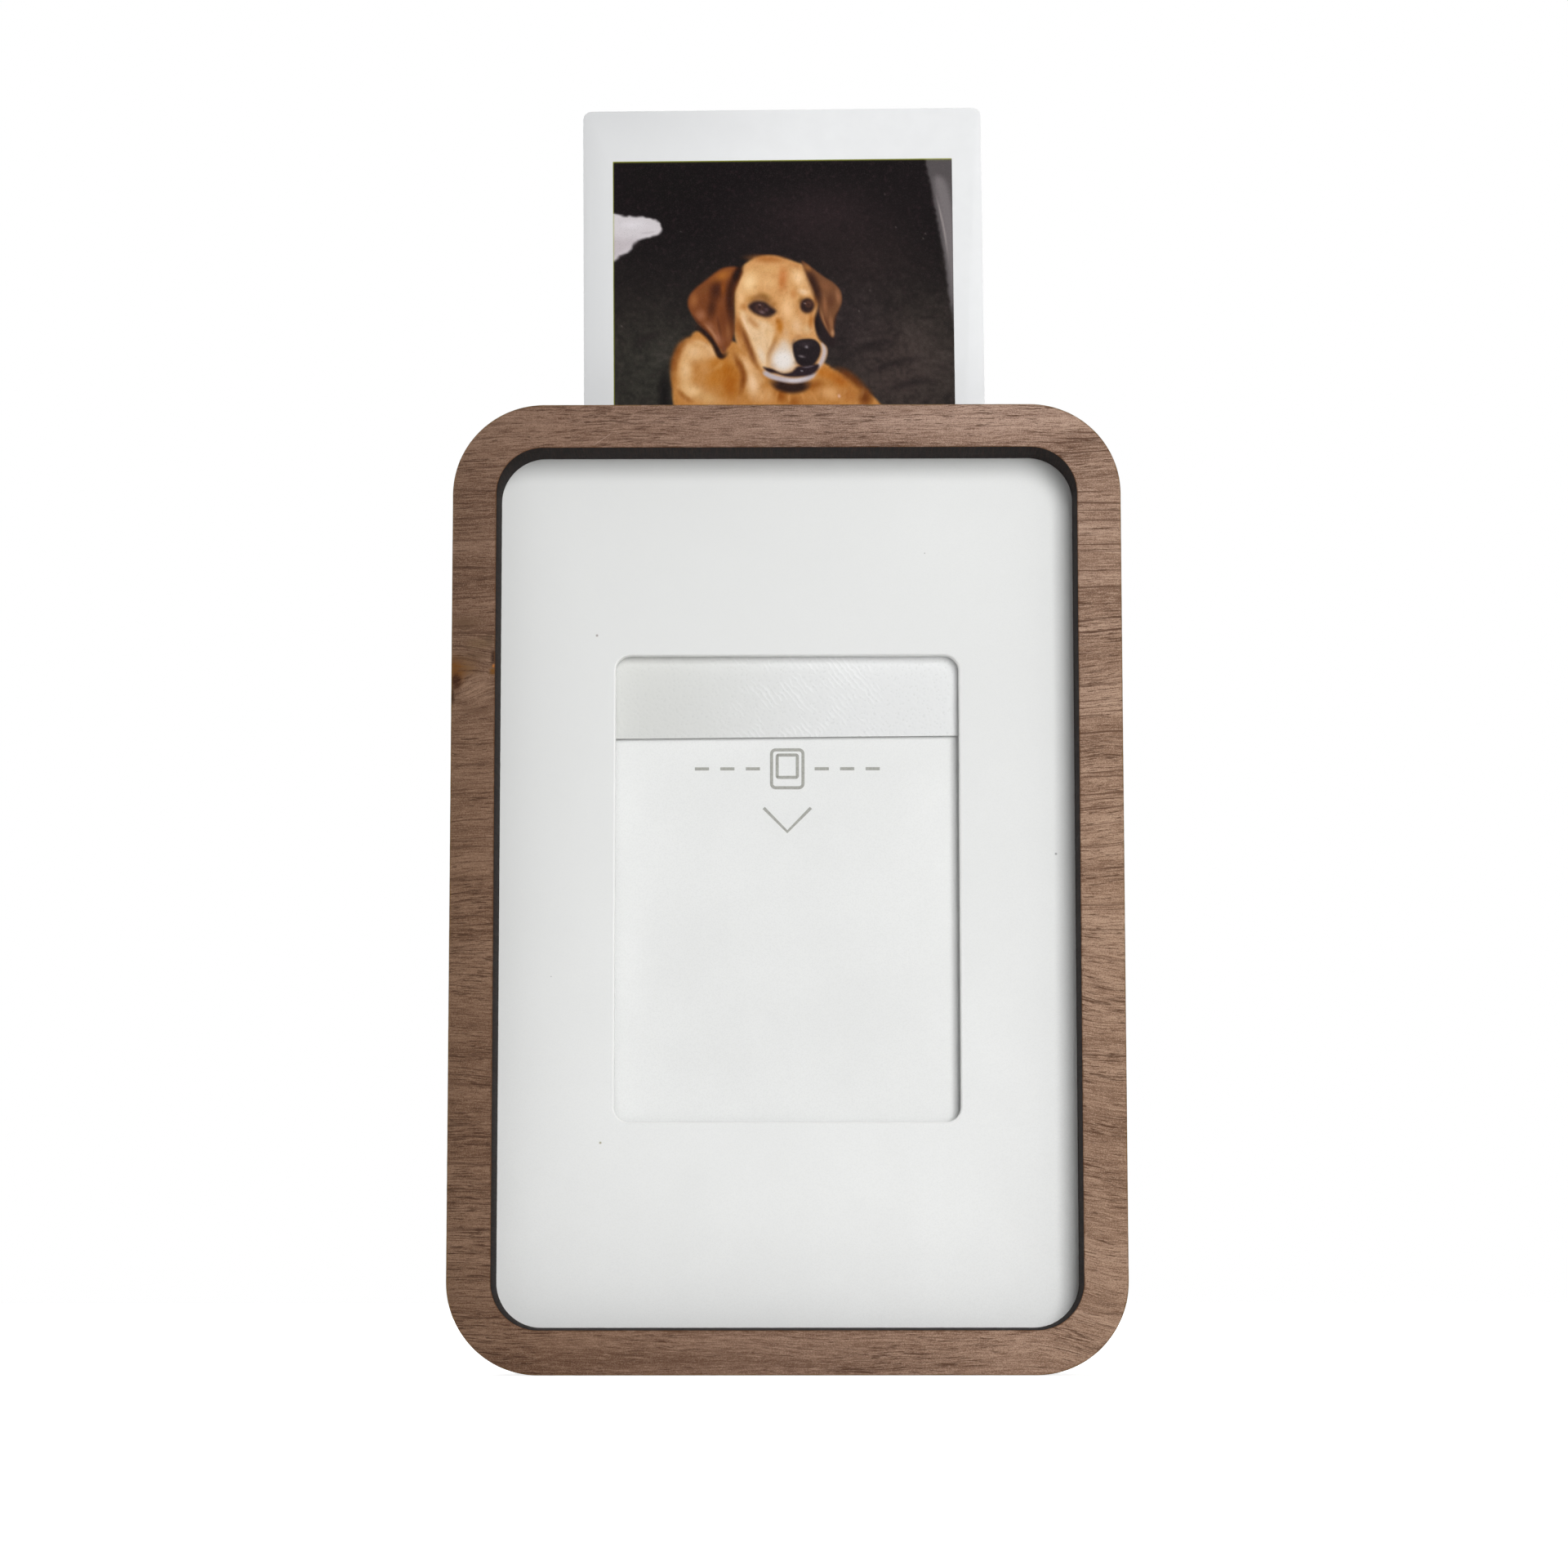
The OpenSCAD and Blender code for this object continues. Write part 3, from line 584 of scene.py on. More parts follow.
def white_skin(name, tone, grain_cells, grain_depth, roughness=0.5):
    """Matte white plastic with a faint mottle, fine speckle and a moulded skin, and its colour."""
    skin = Finish(name, tone, roughness, specular=0.35)
    mottle = skin.place.noise(0.09)
    speckle = skin.place.noise(grain_cells, detail=2, roughness=0.7)
    colour = mixed(mottle.smooth(0.3, 0.7), times(tone, 0.986), tone)
    colour = mixed(speckle.smooth(0.58, 0.35) * 0.28, colour, times(tone, 0.93))
    skin.set("Base Color", colour)
    skin.set("Roughness", speckle * 0.2 + (roughness - 0.1))
    skin.bump(speckle, grain_depth * MM, 0.6)
    return skin, colour


def white_plastic(*looks):
    return white_skin(*looks)[0].material


def mat_white():
    """The white front, with painted shade that darkens it towards the upper left from its lightest low on
    the right, a painted highlight on its rounded edges, and a little dust.
    """
    skin, colour = white_skin("front_white", (244, 245, 244), 5.0, 0.012)
    # Painted shade: the front is painted darker towards the left and towards the top
    painted_shade = skin.x.smooth(36.0, -40.0) * 0.4 + skin.z.smooth(10.0, 100.0) * 0.6
    colour = mixed(painted_shade, colour, (226, 227, 226))
    for centre, size, tone in DUST:
        colour = mixed(skin.close_to(centre, (size, size)) * 0.85, colour, tone)
    # Painted highlight: where the surface turns away from the front, on its rounded edges, it is painted paler
    rounded = skin.facing().smooth(0.985, 0.7)
    skin.set("Base Color", mixed(rounded, colour, (251, 251, 250)))
    return skin.material


def steel(name, tone, roughness, lines):
    """Bright metal with fine turning or drawing lines, given as cells to the millimetre."""
    skin = Finish(name, tone, roughness, metallic=1.0)
    marks = skin.place.noise(lines, roughness=0.6)
    patches = skin.place.noise(0.5, detail=2)
    skin.set("Base Color", mixed(patches.smooth(0.35, 0.7), times(tone, 0.9), tone))
    skin.set("Roughness", marks * 0.3 + (roughness - 0.12))
    skin.bump(marks, 0.008 * MM, 0.5)
    return skin.material


def dark_matte(name, tone, roughness, cells):
    """A dark rubber or tape with a fine dry grain."""
    skin = Finish(name, tone, roughness)
    dry = skin.place.noise(cells, roughness=0.65)
    skin.set("Base Color", mixed(dry.smooth(0.4, 0.75), tone, times(tone, 1.35)))
    skin.bump(dry, 0.02 * MM, 0.6)
    return skin.material


def pressed_foot(skin):
    """The dimples and the ridges pressed into the foot border, and the share of the ridges. The same
    masks give painted shade in the dimples and painted glints on the ridges.
    """
    vector = add(skin.tree, "ShaderNodeMapping", vector=skin.place, scale=(2.3, 1.0, 2.3))
    dimples = add(skin.tree, "ShaderNodeTexVoronoi", {"feature": "SMOOTH_F1"}, "Distance", vector=vector, scale=1.0)
    slope = skin.x * RIDGE_SLOPE[0] + skin.z * RIDGE_SLOPE[1]
    swerve = skin.place.noise((0.9, 0.4, 0.9))
    ridges = (swerve * 9.0 + slope * (2 * pi / RIDGE_STEP)).step("SINE")
    worn = skin.place.noise((0.35, 0.2, 0.35), detail=2)
    middle = skin.x.smooth(*RIDGES_AND_GLINTS_X[0]) * skin.x.smooth(*RIDGES_AND_GLINTS_X[1])
    return dimples, ridges, middle * worn.smooth(0.42, 0.6)


def border_film():
    """White satin film round the picture, with a fine pressed texture over the foot border, painted shade
    towards the left, painted shade in the dimples and painted glints on the ridges.
    """
    skin = Finish("print_border_film", (222, 224, 225), 0.32, specular=0.35)
    low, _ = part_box("print_border")
    in_foot = skin.z.smooth(*(low.z / MM + height for height in FOOT_EDGE))
    dimples, ridges, ridge_and_glint_share = pressed_foot(skin)
    mottle = skin.place.noise((0.35, 0.2, 0.35))
    colour = mixed(mottle.smooth(0.35, 0.7), (234, 235, 236), (236, 237, 238))
    # Painted shade: the film is painted darker towards the left
    colour = mixed(skin.x.smooth(6.0, -27.0) * 0.9, colour, (215, 216, 217))
    # Painted shade: the foot border too is painted darker towards the left
    foot_tone = mixed(skin.x.smooth(-24.0, 12.0), (212, 213, 210), (228, 229, 229))
    # Painted shade: the bottoms of the pressed dimples are painted darker
    foot_tone = mixed(dimples.smooth(0.3, 0.1) * 0.25, foot_tone, (196, 198, 196))
    # Painted glints: the crests of the ridges are painted lighter
    foot_tone = mixed(ridges.smooth(0.2, 0.9) * ridge_and_glint_share * 0.5, foot_tone, (240, 241, 241))
    skin.set("Base Color", mixed(in_foot, colour, foot_tone))
    skin.bump((dimples * 0.9 + ridges * ridge_and_glint_share * 0.3) * in_foot, 0.05 * MM, 0.7)
    return skin.material


def picture_film():
    """The glossy picture: its colours are painted on the mesh, and a fine grain lies over them."""
    skin = Finish("picture_film", (30, 25, 25), 0.3, specular=0.1)
    painted = add(skin.tree, "ShaderNodeAttribute", {"attribute_name": "picture_colour"}, output="Color")
    specks = skin.place.noise(7, detail=2, roughness=0.8)
    blots = skin.place.noise(1.6)
    colour = mixed(specks.smooth(0.5, 0.8) * 0.035, painted, (190, 175, 175))
    colour = mixed(specks.smooth(0.5, 0.25) * 0.22, colour, (10, 8, 10))
    colour = mixed(blots.smooth(0.5, 0.8) * 0.03, colour, (150, 110, 120))
    skin.set("Base Color", colour)
    skin.bump(blots, 0.004 * MM, 0.3)
    return skin.material


def back_film():
    """Black satin film on the back of the print."""
    skin = Finish("print_back_film", (26, 26, 27), 0.35)
    rub = skin.place.noise((0.4, 0.4, 1.6), detail=4, roughness=0.65)
    skin.set("Base Color", rub.ramp((0.35, (22, 22, 23)), (0.7, (36, 36, 38))))
    skin.set("Roughness", rub * 0.3 + 0.2)
    skin.bump(rub, 0.01 * MM, 0.4)
    return skin.material


def grey_ink():
    """Thin grey ink, a little uneven over the panel's grain."""
    skin = Finish("grey_ink", (166, 166, 160), 0.6)
    uneven = skin.place.noise(4, detail=2)
    skin.set("Base Color", uneven.ramp((0.35, (158, 158, 152)), (0.7, (174, 174, 168))))
    return skin.material


# ---------------------------------------------------------------------------------------------
# Mesh making
# ---------------------------------------------------------------------------------------------

def new_piece(name, mesh, body, slot_name, *replaced):
    """Puts a finished mesh in the scene as a piece that rides on a body, in place of CAD nodes."""
    piece = linked(name, mesh)
    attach(piece, body)
    if replaced:
        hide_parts(*replaced)
    return piece


def plain_mesh(piece, name):
    """The mesh that a piece's modifiers make, on its own. The piece is removed."""
    graph = bpy.context.evaluated_depsgraph_get()
    made = bpy.data.meshes.new_from_object(piece.evaluated_get(graph), preserve_all_data_layers=True, depsgraph=graph)
    bpy.data.objects.remove(piece)
    made.name = name
    return made


def smooth_shaded(mesh, angle=35):
    """Smooth shading, with creases where faces meet at more than the angle."""
    mesh.shade_smooth()
    mesh.set_sharp_from_angle(angle=radians(angle))
    return mesh


def as_object(name, shape, material):
    """An object in the scene from an edited shape, which is freed."""
    mesh = bpy.data.meshes.new(name)
    shape.to_mesh(mesh)
    shape.free()
    mesh.materials.append(material)
    return linked(name, mesh)


def softened(node, width, segments, material):
    """A copy of a CAD node's mesh, merged, with flat faces made whole and its sharp edges rounded."""
    shape = bmesh.new()
    shape.from_mesh(NODES[node].data)
    bmesh.ops.remove_doubles(shape, verts=shape.verts, dist=MERGE_WITHIN)
    bmesh.ops.dissolve_limit(shape, angle_limit=radians(LEVEL_WITHIN), verts=shape.verts, edges=shape.edges)
    rough = as_object(node, shape, material)
    edges = rough.modifiers.new("soft_edges", "BEVEL")
    edges.width = width
    edges.segments = segments
    edges.limit_method = "ANGLE"
    edges.angle_limit = radians(SHARP_FROM)
    return smooth_shaded(plain_mesh(rough, node))


def new_tree(name, **kinds):
    """A Geometry Nodes tree with named inputs and a material, and the outputs that give them in it."""
    tree = bpy.data.node_groups.new(name, "GeometryNodeTree")
    for title, kind in (*kinds.items(), ("Material", "Material")):
        tree.interface.new_socket(title, in_out="INPUT", socket_type="NodeSocket" + kind)
    tree.interface.new_socket("Geometry", in_out="OUTPUT", socket_type="NodeSocketGeometry")
    given = tree.nodes.new("NodeGroupInput").outputs
    return tree, {title: Value(tree, given[title]) for title in (*kinds, "Material")}


def finished(tree, shape, material):
    """The tree, ended with real geometry in its material."""
    real = add(tree, "GeometryNodeRealizeInstances", geometry=shape)
    dressed = add(tree, "GeometryNodeSetMaterial", geometry=real, material=material)
    tree.links.new(dressed.socket, tree.nodes.new("NodeGroupOutput").inputs[0])
    return tree


def grown(name, tree, data=None, **values):
    """The plain mesh that a tree grows from an object's data with these values."""
    start = linked(name, data or bpy.data.meshes.new(name))
    modifier = start.modifiers.new(tree.name, "NODES")
    modifier.node_group = tree
    sockets = {item.name: item.identifier for item in tree.interface.items_tree if item.in_out == "INPUT"}
    for key, value in values.items():
        modifier[sockets[key]] = value
    return plain_mesh(start, name)


def flat_sweep_tree():
    """Sweeps a flat section with soft edges along curves that lie in the plane of the front."""
    tree, given = new_tree("flat_sweep", Path="Geometry", Width="Float", Depth="Float", Taper="Float", Edge="Float",
                           Wobble="Float")
    path = add(tree, "GeometryNodeSetCurveNormal", {"mode": "Z_UP"}, curve=given["Path"])
    section = add(tree, "GeometryNodeCurvePrimitiveQuadrilateral", width=given["Width"], height=given["Depth"])
    x, y, _ = add(tree, "GeometryNodeInputPosition").apart()
    inner_back = x.step("LESS_THAN", 0.0) * y.step("GREATER_THAN", 0.0)
    shift = add(tree, "ShaderNodeCombineXYZ", x=inner_back * (given["Taper"] * -1.0))
    section = add(tree, "GeometryNodeSetPosition", geometry=section, offset=shift)
    section = add(tree, "GeometryNodeFilletCurve", {"mode": "POLY"}, curve=section, count=EDGE_STEPS,
                  radius=given["Edge"])
    swept = add(tree, "GeometryNodeCurveToMesh", curve=path, profile_curve=section, fill_caps=True)
    place = add(tree, "GeometryNodeInputPosition")
    jitter = add(tree, "ShaderNodeTexNoise", {"noise_dimensions": "3D"}, vector=place, scale=WOBBLE_CELLS,
                 detail=1.0)
    offset = add(tree, "GeometryNodeInputNormal").scaled((jitter - 1.0) * given["Wobble"])
    moved = add(tree, "GeometryNodeSetPosition", geometry=swept, offset=offset)
    return finished(tree, moved, given["Material"])


def wire_coil_tree():
    """Winds a compression spring along Z from zero, with its end turns closed."""
    tree, given = new_tree("wire_coil", Radius="Float", Wire="Float", Length="Float", Turns="Float", Closed="Float",
                           Steps="Int")
    radius, wire, turns, closed = (given[name] for name in ("Radius", "Wire", "Turns", "Closed"))
    line = add(tree, "GeometryNodeCurveSpiral", resolution=given["Steps"], rotations=turns,
               start_radius=radius, end_radius=radius, height=1.0)
    turned = add(tree, "GeometryNodeSplineParameter", output="Factor") * turns
    far = turns - closed
    ends = turned.lowest(closed) * wire + (turned - far).highest(0.0) * wire
    open_height = given["Length"] - wire - closed * wire * 2.0
    open_share = add(tree, "ShaderNodeMapRange", value=turned, from_min=closed, from_max=far)
    height = ends + open_share * open_height + wire * 0.5
    x, y, _ = add(tree, "GeometryNodeInputPosition").apart()
    place = add(tree, "ShaderNodeCombineXYZ", x=x, y=y, z=height)
    line = add(tree, "GeometryNodeSetPosition", geometry=line, position=place)
    section = add(tree, "GeometryNodeCurvePrimitiveCircle", resolution=WIRE_SIDES, radius=wire * 0.5)
    wound = add(tree, "GeometryNodeCurveToMesh", curve=line, profile_curve=section, fill_caps=True)
    return finished(tree, wound, given["Material"])


def screw_set_tree():
    """Puts one screw at each point, turned by chance."""
    tree, given = new_tree("screw_set", Places="Geometry", Screw="Object")
    screw = add(tree, "GeometryNodeObjectInfo", output="Geometry", object=given["Screw"])
    spin = add(tree, "FunctionNodeRandomValue", {"data_type": "FLOAT"}, "Value", min=0.0, max=pi / 2, seed=4)
    turn = add(tree, "ShaderNodeCombineXYZ", y=spin)
    placed = add(tree, "GeometryNodeInstanceOnPoints", points=given["Places"], instance=screw, rotation=turn)
    return finished(tree, placed, given["Material"])


def poly_curve(name, strokes):
    """Curve data of straight-pointed strokes, each a list of points across and up, and whether it closes."""
    data = bpy.data.curves.new(name, "CURVE")
    data.dimensions = "3D"
    for points, closed in strokes:
        line = data.splines.new("POLY")
        line.points.add(len(points) - 1)
        for point, (across, height) in zip(line.points, points):
            point.co = (across, height, 0, 1)
        line.use_cyclic_u = closed
    return data


def round_rectangle(low, high, corner, steps):
    """Points round a rectangle with round corners."""
    points = []
    for quarter, (x, y) in enumerate(((high[0], high[1]), (low[0], high[1]), (low[0], low[1]), (high[0], low[1]))):
        centre = (x - corner if x == high[0] else x + corner, y - corner if y == high[1] else y + corner)
        for step in range(steps + 1):
            angle = pi / 2 * (quarter + step / steps)
            points.append((centre[0] + corner * cos(angle), centre[1] + corner * sin(angle)))
    return points


def filled_in(points, step):
    """A closed line's points, with more of them along its long straight parts."""
    filled = []
    for start, end in zip(points, points[1:] + points[:1]):
        count = max(1, round((Vector(end) - Vector(start)).length / step))
        filled += [tuple(Vector(start).lerp(Vector(end), part / count)) for part in range(count)]
    return filled


def stand_up(mesh, depth):
    """Turns a mesh from the XY plane into the plane of the front, with its middle at a depth."""
    mesh.transform(Matrix.Translation((0, depth, 0)) @ Matrix.Rotation(pi / 2, 4, "X"))
    return mesh


# ---------------------------------------------------------------------------------------------
# Box, ring and marks
# ---------------------------------------------------------------------------------------------

def make_ring(sweep, material):
    low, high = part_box("front_ring")
    half = RAIL_W / 2
    path = round_rectangle((low.x + half, low.z + half), (high.x - half, high.z - half), CORNER_R - half, CORNER_STEPS)
    data = poly_curve("front_ring_path", [(filled_in(path, STRAIGHT_STEP), True)])
    mesh = grown("walnut_ring", sweep, data, Width=RAIL_W, Depth=high.y - low.y, Taper=CUT_TAPER, Edge=RING_EDGE,
                 Wobble=CUT_WOBBLE, Material=material)
    mesh = smooth_shaded(stand_up(mesh, (low.y + high.y) / 2), 50)
    new_piece("walnut_ring", mesh, "housing", "walnut", "front_ring")


def make_softened(*rows):
    """Pieces that are a CAD node with its edges rounded. A row is the piece's name, the node, the width
    of the rounding in millimetres and its segments, the material, the body and the slot, which is not used."""
    for name, node, width, segments, material, body, slot_name in rows:
        new_piece(name, softened(node, width * MM, segments, material), body, slot_name, node)


def make_marks(sweep, ink):
    """A chevron that points down, under a card between two rows of dashes."""
    panel_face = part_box("lift_chassis")[0].y
    card, picture = (
        round_rectangle(box[:2], box[2:], corner, MARK_STEPS)
        for box, corner in ((CARD_BOX, CARD_CORNER), (CARD_PICTURE_BOX, PICTURE_CORNER))
    )
    strokes = [(CHEVRON_POINTS, False), (card, True), (picture, True)]
    for middle in (side * place for place in DASH_PLACES for side in (-1, 1)):
        strokes.append(([(middle - DASH_W / 2, DASH_Z), (middle + DASH_W / 2, DASH_Z)], False))
    strokes = [([(across * MM, up * MM) for across, up in points], closed) for points, closed in strokes]
    mesh = grown("guide_marks", sweep, poly_curve("guide_mark_paths", strokes), Width=INK_STROKE, Depth=INK_T,
                 Edge=INK_T / 4, Wobble=0.0, Material=ink)
    new_piece("guide_marks", stand_up(mesh, panel_face - INK_T / 2), "housing", "white_chassis")


# ---------------------------------------------------------------------------------------------
# Springs and screws
# ---------------------------------------------------------------------------------------------

def make_lift_springs(coil, wire):
    for side in ("left", "right"):
        node = "lift_spring_" + side
        low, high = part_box(node)
        mesh = grown("wound_" + node, coil, Radius=(LIFT_COIL - LIFT_WIRE) / 2, Wire=LIFT_WIRE, Length=high.z - low.z,
                     Turns=float(LIFT_TURNS), Closed=LIFT_CLOSED, Steps=LIFT_STEPS, Material=wire)
        middle = (low + high) / 2
        mesh.transform(Matrix.Translation((middle.x, middle.y, low.z)))
        spring = new_piece("wound_" + node, smooth_shaded(mesh, 60), "housing", "spring_steel", node)
        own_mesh(spring)


def make_return_spring(coil, wire):
    low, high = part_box("latch_spring")
    mesh = grown("wound_latch_spring", coil, Radius=(RETURN_COIL - RETURN_WIRE) / 2, Wire=RETURN_WIRE,
                 Length=high.y - low.y, Turns=float(RETURN_TURNS), Closed=RETURN_CLOSED, Steps=RETURN_STEPS,
                 Material=wire)
    middle = (low + high) / 2
    mesh.transform(Matrix.Translation((middle.x, low.y, middle.z)) @ Matrix.Rotation(-pi / 2, 4, "X"))
    spring = new_piece("wound_latch_spring", smooth_shaded(mesh, 60), "housing", "spring_steel", "latch_spring")
    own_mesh(spring)


def screw_outline(head_d, head_h, thread_d, length):
    """Half of a screw's section, as radii and depths: a domed head, a thread and a point."""
    dome = HEAD_DOME * head_h
    outline = [(0, 0)]
    outline += [(head_d / 2 * sin(a), -dome * (1 - cos(a))) for a in np.linspace(0.15, pi / 2, 8)]
    outline += [(head_d / 2, -head_h * HEAD_SIDE), (head_d / 2 - HEAD_BEVEL * head_h, -head_h)]
    outline += [(thread_d * SHANK_NECK, -head_h)]
    crests = int(length / MM * CRESTS_PER_MM)
    pitch = length * THREAD_REACH / crests
    for crest in range(crests):
        start = head_h + crest * pitch
        outline += [(thread_d * radius, -start - depth * pitch) for radius, depth in THREAD_SHAPE]
    return outline + [(thread_d * radius, -head_h - length * depth) for radius, depth in SHANK_POINT]


def recess_bar(head_d, head_h, turn):
    """One bar of the cross recess, narrower at its bottom."""
    slot = bmesh.new()
    bmesh.ops.create_cube(slot, size=1)
    size = [whole * share for whole, share in zip((head_d, head_h, head_d), RECESS_BAR)]
    for corner in slot.verts:
        narrow = RECESS_BOTTOM if corner.co.y < 0 else 1.0
        corner.co = Vector((corner.co.x * size[0] * narrow, corner.co.y * size[1], corner.co.z * size[2] * narrow))
    bmesh.ops.rotate(slot, verts=slot.verts, cent=(0, 0, 0), matrix=Matrix.Rotation(turn * pi / 2, 3, "Y"))
    return slot


def screw_shape(name, head_d, head_h, thread_d, length, skin):
    """One screw, with its head to the back at zero depth and a cross recess in it."""
    shape = bmesh.new()
    line = [shape.verts.new((radius, depth, 0)) for radius, depth in screw_outline(head_d, head_h, thread_d, length)]
    edges = [shape.edges.new(pair) for pair in zip(line, line[1:])]
    bmesh.ops.spin(shape, geom=line + edges, cent=(0, 0, 0), axis=(0, 1, 0), angle=2 * pi, steps=SCREW_STEPS,
                   use_merge=True)
    bmesh.ops.remove_doubles(shape, verts=shape.verts, dist=SCREW_MERGE)
    bmesh.ops.recalc_face_normals(shape, faces=shape.faces)
    body = as_object(name, shape, skin)
    for turn in (0, 1):
        cutter = as_object(name + "_cutter", recess_bar(head_d, head_h, turn), skin)
        cut = body.modifiers.new("recess", "BOOLEAN")
        cut.object = cutter
        cut.solver = "EXACT"
        mesh = plain_mesh(body, name)
        bpy.data.objects.remove(cutter)
        body = linked(name, mesh)
    smooth_shaded(body.data, 40)
    return body


def make_screws(screw_set, skin):
    """The screws of one node stand at the corners of its box, or at its middle if there is one."""
    for node, body, head_d, head_h, thread_d in SCREWS:
        low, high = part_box(node)
        half = head_d / 2
        places = {(x, z) for x in (low.x + half, high.x - half) for z in (low.z + half, high.z - half)}
        if high.x - low.x < 2 * head_d:
            places = {((low.x + high.x) / 2, (low.z + high.z) / 2)}
        points = bpy.data.meshes.new(node + "_places")
        points.from_pydata([(x, high.y, z) for x, z in sorted(places)], [], [])
        screw = screw_shape(node + "_one", head_d, head_h, thread_d, high.y - low.y - head_h, skin)
        mesh = grown("driven_" + node, screw_set, points, Screw=screw, Material=skin)
        bpy.data.objects.remove(screw)
        new_piece("driven_" + node, mesh, body, "screw_steel", node)


# ---------------------------------------------------------------------------------------------
# The picture, painted in millimetres right of and below its upper left corner
# ---------------------------------------------------------------------------------------------

# The noise repeats after this many cells. The ragged edge of a shape has cells of this size
NOISE_CELLS = 96
RAGGED_CELL, RAGGED_SEED = 0.45, 5


def value_noise(across, down, cell, seed):
    """Smooth noise from 0 to 1 with cells of that size."""
    lattice = np.random.default_rng(seed).random((NOISE_CELLS, NOISE_CELLS))
    x, y = across / cell + 8, down / cell + 8
    column, row = np.floor(x).astype(int), np.floor(y).astype(int)
    u, v = softly(x - column), softly(y - row)
    corner = [[lattice[(row + i) % NOISE_CELLS, (column + j) % NOISE_CELLS] for j in (0, 1)] for i in (0, 1)]
    upper, lower = (pair[0] * (1 - u) + pair[1] * u for pair in corner)
    return upper * (1 - v) + lower * v


def softly(share):
    """0 below 0 and 1 above 1, smoothly between."""
    share = np.clip(share, 0, 1)
    return share * share * (3 - 2 * share)


def curve_through(points, closed, steps=7):
    """A smooth line through points."""
    points = np.array(points, float)
    if not closed:
        points = np.vstack((2 * points[0] - points[1], points, 2 * points[-1] - points[-2]))
    count = len(points)
    made = []
    for i in range(count) if closed else range(1, count - 2):
        a, b, c, d = (points[(i + k) % count] for k in (-1, 0, 1, 2))
        bend, twist = 2 * a - 5 * b + 4 * c - d, 3 * b - a - 3 * c + d
        made += [0.5 * (2 * b + (c - a) * t + bend * t ** 2 + twist * t ** 3) for t in np.arange(steps) / steps]
    if not closed:
        made.append(points[-2])
    return np.array(made)


class Painter:
    """Lays soft shapes of colour over the points of a mesh, one over another."""

    def __init__(self, across, down):
        self.across, self.down = across, down
        self.colours = np.zeros((len(across), 3))

    def near(self, low, high):
        inside = (self.across > low[0]) & (self.across < high[0]) & (self.down > low[1]) & (self.down < high[1])
        return np.nonzero(inside)[0]

    def lay(self, chosen, cover, colour):
        here = self.colours[chosen]
        self.colours[chosen] = here + cover[:, None] * (np.array(colour, float) - here)

    def distance(self, chosen, line, closed):
        """Distance of the chosen points from a line, and the share of the line at which each is nearest."""
        places = np.stack((self.across[chosen], self.down[chosen]), 1)
        ends = np.roll(line, -1, 0) if closed else line[1:]
        starts = line if closed else line[:-1]
        best, nearest = np.full(len(places), 1e9), np.zeros(len(places))
        for i, (a, b) in enumerate(zip(starts, ends)):
            along = b - a
            share = np.clip(((places - a) @ along) / max(along @ along, 1e-9), 0, 1)
            away = np.hypot(*(places - a - share[:, None] * along).T)
            nearest = np.where(away < best, (i + share) / len(ends), nearest)
            best = np.minimum(best, away)
        return best, nearest

    def patch(self, points, colour, soft=0.3, strength=1.0, ragged=0.0):
        """A filled shape with a soft edge."""
        line = curve_through(points, True)
        reach = soft + ragged
        chosen = self.near(line.min(0) - reach, line.max(0) + reach)
        away, _ = self.distance(chosen, line, True)
        x, y = self.across[chosen], self.down[chosen]
        crossings = np.zeros(len(chosen), int)
        for (x0, y0), (x1, y1) in zip(line, np.roll(line, -1, 0)):
            if y0 != y1:
                crossings += ((y0 > y) != (y1 > y)) & (x < (x1 - x0) * (y - y0) / (y1 - y0) + x0)
        inside = np.where(crossings % 2 == 1, away, -away)
        if ragged:
            inside = inside + ragged * (2 * value_noise(x, y, RAGGED_CELL, RAGGED_SEED) - 1)
        self.lay(chosen, strength * softly(inside / soft + 0.5), colour)

    def spot(self, centre, size, colour, strength=1.0, turn=0, hard=0.0):
        """An oval that fades out from its middle, or has an edge as hard as hard says."""
        reach = max(size)
        chosen = self.near(np.array(centre) - reach, np.array(centre) + reach)
        x, y = self.across[chosen] - centre[0], self.down[chosen] - centre[1]
        c, s = cos(radians(turn)), sin(radians(turn))
        away = np.hypot((x * c + y * s) / size[0], (y * c - x * s) / size[1])
        self.lay(chosen, strength * softly((1 - away) / (1 - hard)), colour)

    def stroke(self, points, width, colour, strength=1.0, soft=1.0, fade=0.4):
        """A brush stroke that fades at its sides, and at each end over a share of its length."""
        line = curve_through(points, False)
        chosen = self.near(line.min(0) - width, line.max(0) + width)
        away, place = self.distance(chosen, line, False)
        from_end = softly(np.minimum(place, 1 - place) / fade) if fade else 1.0
        half = width / 2 * (0.6 + 0.4 * from_end)
        self.lay(chosen, strength * from_end * softly((1 - away / half) / soft), colour)

    def spots(self, rows):
        for row in rows:
            self.spot(*row)

    def strokes(self, rows):
        for row in rows:
            self.stroke(*row)


# In the tables below, a row of SPOTS is a centre, size, colour and strength, and a turn for some. A
# row of STROKES is a line, width, colour and strength. The other tables are outlines and lines

